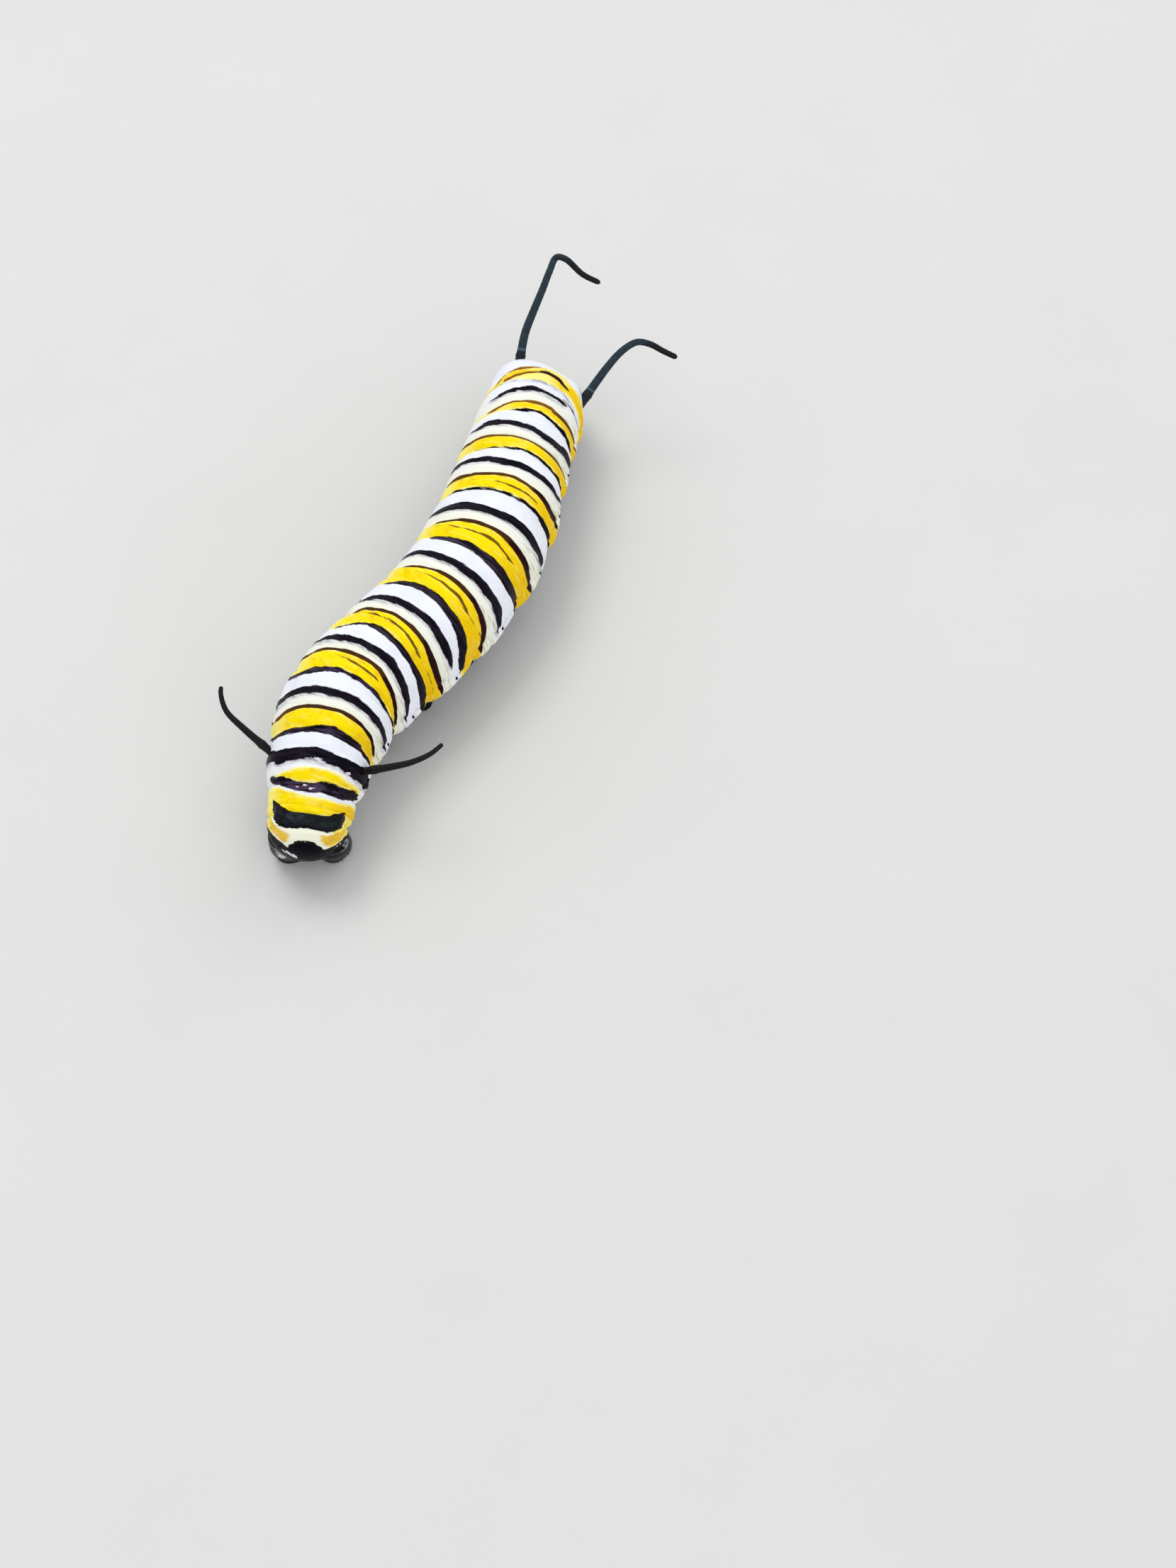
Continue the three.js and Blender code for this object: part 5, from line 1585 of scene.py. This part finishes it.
def build_face_parts():
    """Antennae, upper lip, jaws, palps and the spinneret, all close under the face."""
    radii = np.interp(np.linspace(0, 1, 60), ANTENNA_SHARES, ANTENNA_RADII)
    for side, word in SIDES:
        feeler = face_limb(ANTENNA_LINE, side, radii, 20)
        piece = make_object(f"antenna_{word}_horn", *feeler, plate("leg_horn"))
        settle(piece, "black", f"antenna_{word}")
    parts = [bead(in_head((0, 0.98, -1.3)), 0.46, (1.0, 0.45, 0.62), HEAD_AXES, 20, 36)]
    palp_radii = rounded(np.linspace(0.16, 0.08, 24), 0.15)
    for side, _ in SIDES:
        parts.append(bead(in_head((side * 0.33, 0.66, -1.5)), 0.34, (1, 0.8, 1.05), HEAD_AXES, 18, 28))
        parts.append(face_limb(PALP_LINE, side, palp_radii, 14))
    parts.append(face_limb(SPINNERET_LINE, 1, rounded(np.linspace(0.26, 0.08, 24), 0.1), 18))
    settle(make_object("mouth", *merge(parts), plate("leg_horn")), "black", "mouthparts")
    teeth = []
    for side, _ in SIDES:
        direction = np.array([-side * 0.25, 0.0, -1.0]) @ HEAD_AXES
        for step in range(TEETH):
            root = in_head((side * (0.1 + 0.1 * step), 0.66, -1.78 + 0.04 * step))
            teeth.append(bristle(root, direction, 0.13, 0.05, np.zeros(3)))
    settle(make_object("jaw_teeth", *merge(teeth), plate("hook_amber")), "black")


# Small details


# Segments with breathing holes, their place along the segment and turn down the flank
SPIRACLE_SEGMENTS = (0, 3, 4, 5, 6, 7, 8, 9, 10)
SPIRACLE_SHARE, SPIRACLE_TURN = 0.42, 101
# Rings of one hole from its rim inwards: half height and lift off the skin, in mm
SPIRACLE_RINGS = ((0.15, -0.06), (0.15, 0.012), (0.13, 0.03), (0.09, 0.034), (0.06, 0.022), (0.02, 0.02))


def build_spiracles():
    """Small black breathing holes, one on each flank of nine segments."""
    cosines, sines = np.cos(circle(24))[:, None], np.sin(circle(24))[:, None]
    rims = []
    for segment in SPIRACLE_SEGMENTS:
        place = STARTS[segment] + SPIRACLE_SHARE * LENGTHS[segment]
        along = frame_at(np.array([place]))[1][0]
        for side, _ in SIDES:
            turn = side * math.radians(SPIRACLE_TURN)
            spot = body_spot(np.array([place]), np.array([turn]))[0]
            out = outward_at(place, turn)
            upward = np.cross(out, along)
            grid = [spot + (cosines * along * radius * 0.6 + sines * upward * radius) + out * lift
                    for radius, lift in SPIRACLE_RINGS]
            rims.append(closed_tube(np.array(grid)))
    settle(make_object("spiracles", *merge(rims), plate("dull_black")), "black")


# How many hairs are tried on the head, each proleg, the flanks and the shield
HAIRS = {"head": 230, "proleg": 70, "flanks": 420, "shield": 90}
HAIR_WIDTHS = {"head": 0.009, "proleg": 0.008, "body": 0.007}


def head_hairs(random):
    parts = []
    for _ in range(HAIRS["head"]):
        spot = random.normal(size=3)
        spot /= np.linalg.norm(spot)
        if spot[1] < -0.25:
            continue
        root = head_spot(spot, -0.02)
        lean_out = spot @ HEAD_AXES + random.normal(size=3) * 0.25
        parts.append(bristle(root, lean_out, random.uniform(0.12, 0.3), HAIR_WIDTHS["head"],
                             np.array([0, 0, -0.2])))
    return parts


def proleg_hairs(random, plan, rings, segment, side):
    root, sole, outward = proleg_line(plan, segment, side)
    shares, radii = np.array(rings)[::-1].T
    base = math.atan2(outward[1], outward[0])
    parts = []
    for _ in range(HAIRS["proleg"]):
        height = random.uniform(0.12, 0.55)
        angle = random.uniform(-1.3, 1.3)
        out = np.array([math.cos(base + angle), math.sin(base + angle), 0.0])
        spot = sole + (root - sole) * height + out * (np.interp(height, shares, radii) - 0.02)
        lean_out = out + np.array([0, 0, -0.45]) + random.normal(size=3) * 0.2
        parts.append(bristle(spot, lean_out, random.uniform(0.1, 0.24), HAIR_WIDTHS["proleg"],
                             np.array([0, 0, -0.25])))
    return parts


def body_hair(random, place, turn, beyond, lengths, droop):
    spot = body_spot(np.array([place]), np.array([turn]), beyond=beyond)[0]
    lean_out = outward_at(place, turn) + random.normal(size=3) * 0.3
    return bristle(spot, lean_out, random.uniform(*lengths), HAIR_WIDTHS["body"],
                   np.array([0, 0, droop]))


def build_bristles():
    """Short stiff hairs on the head, the prolegs, the flanks and the shield."""
    random = np.random.default_rng(23)
    parts = head_hairs(random)
    for segment in PROLEG_SEGMENTS + (TAIL,):
        plan, rings = (ANAL, ANAL_RINGS) if segment == TAIL else (PROLEG, PROLEG_RINGS)
        for side, _ in SIDES:
            parts += proleg_hairs(random, plan, rings, segment, side)
    for _ in range(HAIRS["flanks"]):
        place = random.uniform(1, STARTS[TAIL])
        turn = math.radians(random.uniform(84, 140)) * random.choice([-1, 1])
        parts.append(body_hair(random, place, turn, -0.01, (0.08, 0.18), -0.2))
    for _ in range(HAIRS["shield"]):
        place = STARTS[TAIL] + LENGTHS[TAIL] * random.uniform(0.05, 0.34)
        turn = math.radians(random.uniform(-55, 52))
        parts.append(body_hair(random, place, turn, 0.04, (0.1, 0.2), 0.1))
    settle(make_object("bristles", *merge(parts), plate("bristle_black")), "black")


# Stage

# The camera of the photograph, in mm, and the size of its frame
LOOK_AT = (-12.225, 7.993, 0.0)
CAMERA_AT = (-53.035, 108.993, 167.73)
FRAME_SIZE = (1659, 2212)
FOCAL_PIXELS = 4860.0
SENSOR = 36.0


# Half the floor's side, in metres
FLOOR_REACH = 3.0
# Each lamp: its place and width in metres and its share of the key light's power
LAMPS = (("key", (0.10, -0.03, 0.26), 0.12, 1), ("fill", (-0.2, 0.16, 0.16), 0.24, 0.5),
         ("rim", (-0.05, -0.25, 0.14), 0.16, 0.4))
SKY_COLOUR, SKY_STRENGTH = (0.93, 0.96, 1.0, 1), 0.85


def aim(place, target):
    return (Vector(target) - Vector(place)).to_track_quat("-Z", "Y").to_euler()


def build_camera(scene):
    camera = bpy.data.objects.new("camera", bpy.data.cameras.new("camera"))
    scene.collection.objects.link(camera)
    camera.data.sensor_fit = "AUTO"
    camera.data.sensor_width = SENSOR
    camera.data.lens = FOCAL_PIXELS * SENSOR / max(FRAME_SIZE)
    camera.data.clip_start, camera.data.clip_end = 0.005, 20.0
    place, target = Vector(CAMERA_AT) * MM, Vector(LOOK_AT) * MM
    camera.location = place
    camera.rotation_euler = aim(place, target)
    scene.camera = camera


def build_floor(scene):
    colour = scene.larva_stage.floor
    corners = [(x * FLOOR_REACH, y * FLOOR_REACH, 0) for x, y in ((-1, -1), (1, -1), (1, 1), (-1, 1))]
    mesh = bpy.data.meshes.new("floor")
    mesh.from_pydata(corners, [], [(0, 1, 2, 3)])
    material, nodes, shader = new_material("pale_floor")
    tint = nodes.mix(nodes.noise(90.0, 4.0, 0.6), colour, scaled(colour, 0.95))
    nodes.link(tint, shader.inputs["Base Color"])
    set_constants(shader, Roughness=0.8)
    mesh.materials.append(material)
    floor = bpy.data.objects.new("floor", mesh)
    scene.collection.objects.link(floor)


def build_stage(scene):
    build_camera(scene)
    build_floor(scene)
    world = bpy.data.worlds.new("studio")
    world.use_nodes = True
    sky = world.node_tree.nodes["Background"]
    sky.inputs["Color"].default_value = SKY_COLOUR
    sky.inputs["Strength"].default_value = SKY_STRENGTH
    scene.world = world
    scene.view_settings.view_transform = "Standard"
    for name, place, width, share in LAMPS:
        lamp = bpy.data.lights.new(name, "AREA")
        lamp.energy, lamp.size = scene.larva_stage.key * share, width
        light = bpy.data.objects.new(name, lamp)
        light.location = place
        light.rotation_euler = aim(place, (0, 0, 0))
        scene.collection.objects.link(light)


# Operators and panel


class LARVA_OT_skin(bpy.types.Operator):
    """Build the one ringed skin over the thorax and the abdomen"""

    bl_idname = "larva.skin"
    bl_label = "Ringed skin"

    def execute(self, context):
        build_skin(context.scene)
        return {"FINISHED"}


class LARVA_OT_shield(bpy.types.Operator):
    """Build the black plate over the tail"""

    bl_idname = "larva.shield"
    bl_label = "Anal shield"

    def execute(self, context):
        build_shield()
        return {"FINISHED"}


class LARVA_OT_filaments(bpy.types.Operator):
    """Build the soft horns at the front and the rear"""

    bl_idname = "larva.filaments"
    bl_label = "Filaments"

    def execute(self, context):
        build_filaments(context.scene)
        return {"FINISHED"}


class LARVA_OT_prolegs(bpy.types.Operator):
    """Build the prolegs with their hooks"""

    bl_idname = "larva.prolegs"
    bl_label = "Prolegs"

    def execute(self, context):
        build_prolegs()
        return {"FINISHED"}


class LARVA_OT_legs(bpy.types.Operator):
    """Build the jointed legs under the thorax"""

    bl_idname = "larva.legs"
    bl_label = "Jointed legs"

    def execute(self, context):
        build_legs()
        return {"FINISHED"}


class LARVA_OT_head(bpy.types.Operator):
    """Build the head with its eyes, antennae and mouth"""

    bl_idname = "larva.head"
    bl_label = "Head"

    def execute(self, context):
        build_head(context.scene)
        return {"FINISHED"}


class LARVA_OT_details(bpy.types.Operator):
    """Build the breathing holes and the bristles"""

    bl_idname = "larva.details"
    bl_label = "Small details"

    def execute(self, context):
        build_spiracles()
        build_bristles()
        return {"FINISHED"}


class LARVA_OT_stage(bpy.types.Operator):
    """Set up the floor, the lights and the camera"""

    bl_idname = "larva.stage"
    bl_label = "Stage"

    def execute(self, context):
        build_stage(context.scene)
        return {"FINISHED"}


OPERATORS = (LARVA_OT_stage, LARVA_OT_skin, LARVA_OT_shield, LARVA_OT_filaments, LARVA_OT_prolegs,
             LARVA_OT_legs, LARVA_OT_head, LARVA_OT_details)
GROUPS = {"larva_skin": LarvaSkin, "larva_horns": LarvaHorns, "larva_head": LarvaHead,
          "larva_stage": LarvaStage}


class LARVA_PT_panel(bpy.types.Panel):
    """Lists the pieces of the larva and their settings"""

    bl_idname = "LARVA_PT_panel"
    bl_label = "Monarch Larva"
    bl_space_type = "VIEW_3D"
    bl_region_type = "UI"
    bl_category = "Larva"

    def draw(self, context):
        for group in GROUPS:
            box = self.layout.box()
            settings = getattr(context.scene, group)
            for name in settings.__annotations__:
                box.prop(settings, name)
        for operator in OPERATORS:
            self.layout.operator(operator.bl_idname)


def register():
    for group in GROUPS.values():
        bpy.utils.register_class(group)
    for operator in OPERATORS:
        bpy.utils.register_class(operator)
    bpy.utils.register_class(LARVA_PT_panel)
    for name, group in GROUPS.items():
        setattr(bpy.types.Scene, name, bpy.props.PointerProperty(type=group))


def unregister():
    for name in GROUPS:
        delattr(bpy.types.Scene, name)
    for kind in (LARVA_PT_panel, *reversed(OPERATORS), *GROUPS.values()):
        bpy.utils.unregister_class(kind)


def main():
    register()
    bpy.ops.larva.stage()
    bpy.ops.larva.skin()
    bpy.ops.larva.shield()
    bpy.ops.larva.filaments()
    bpy.ops.larva.prolegs()
    bpy.ops.larva.legs()
    bpy.ops.larva.head()
    bpy.ops.larva.details()


if __name__ == "__main__":
    main()
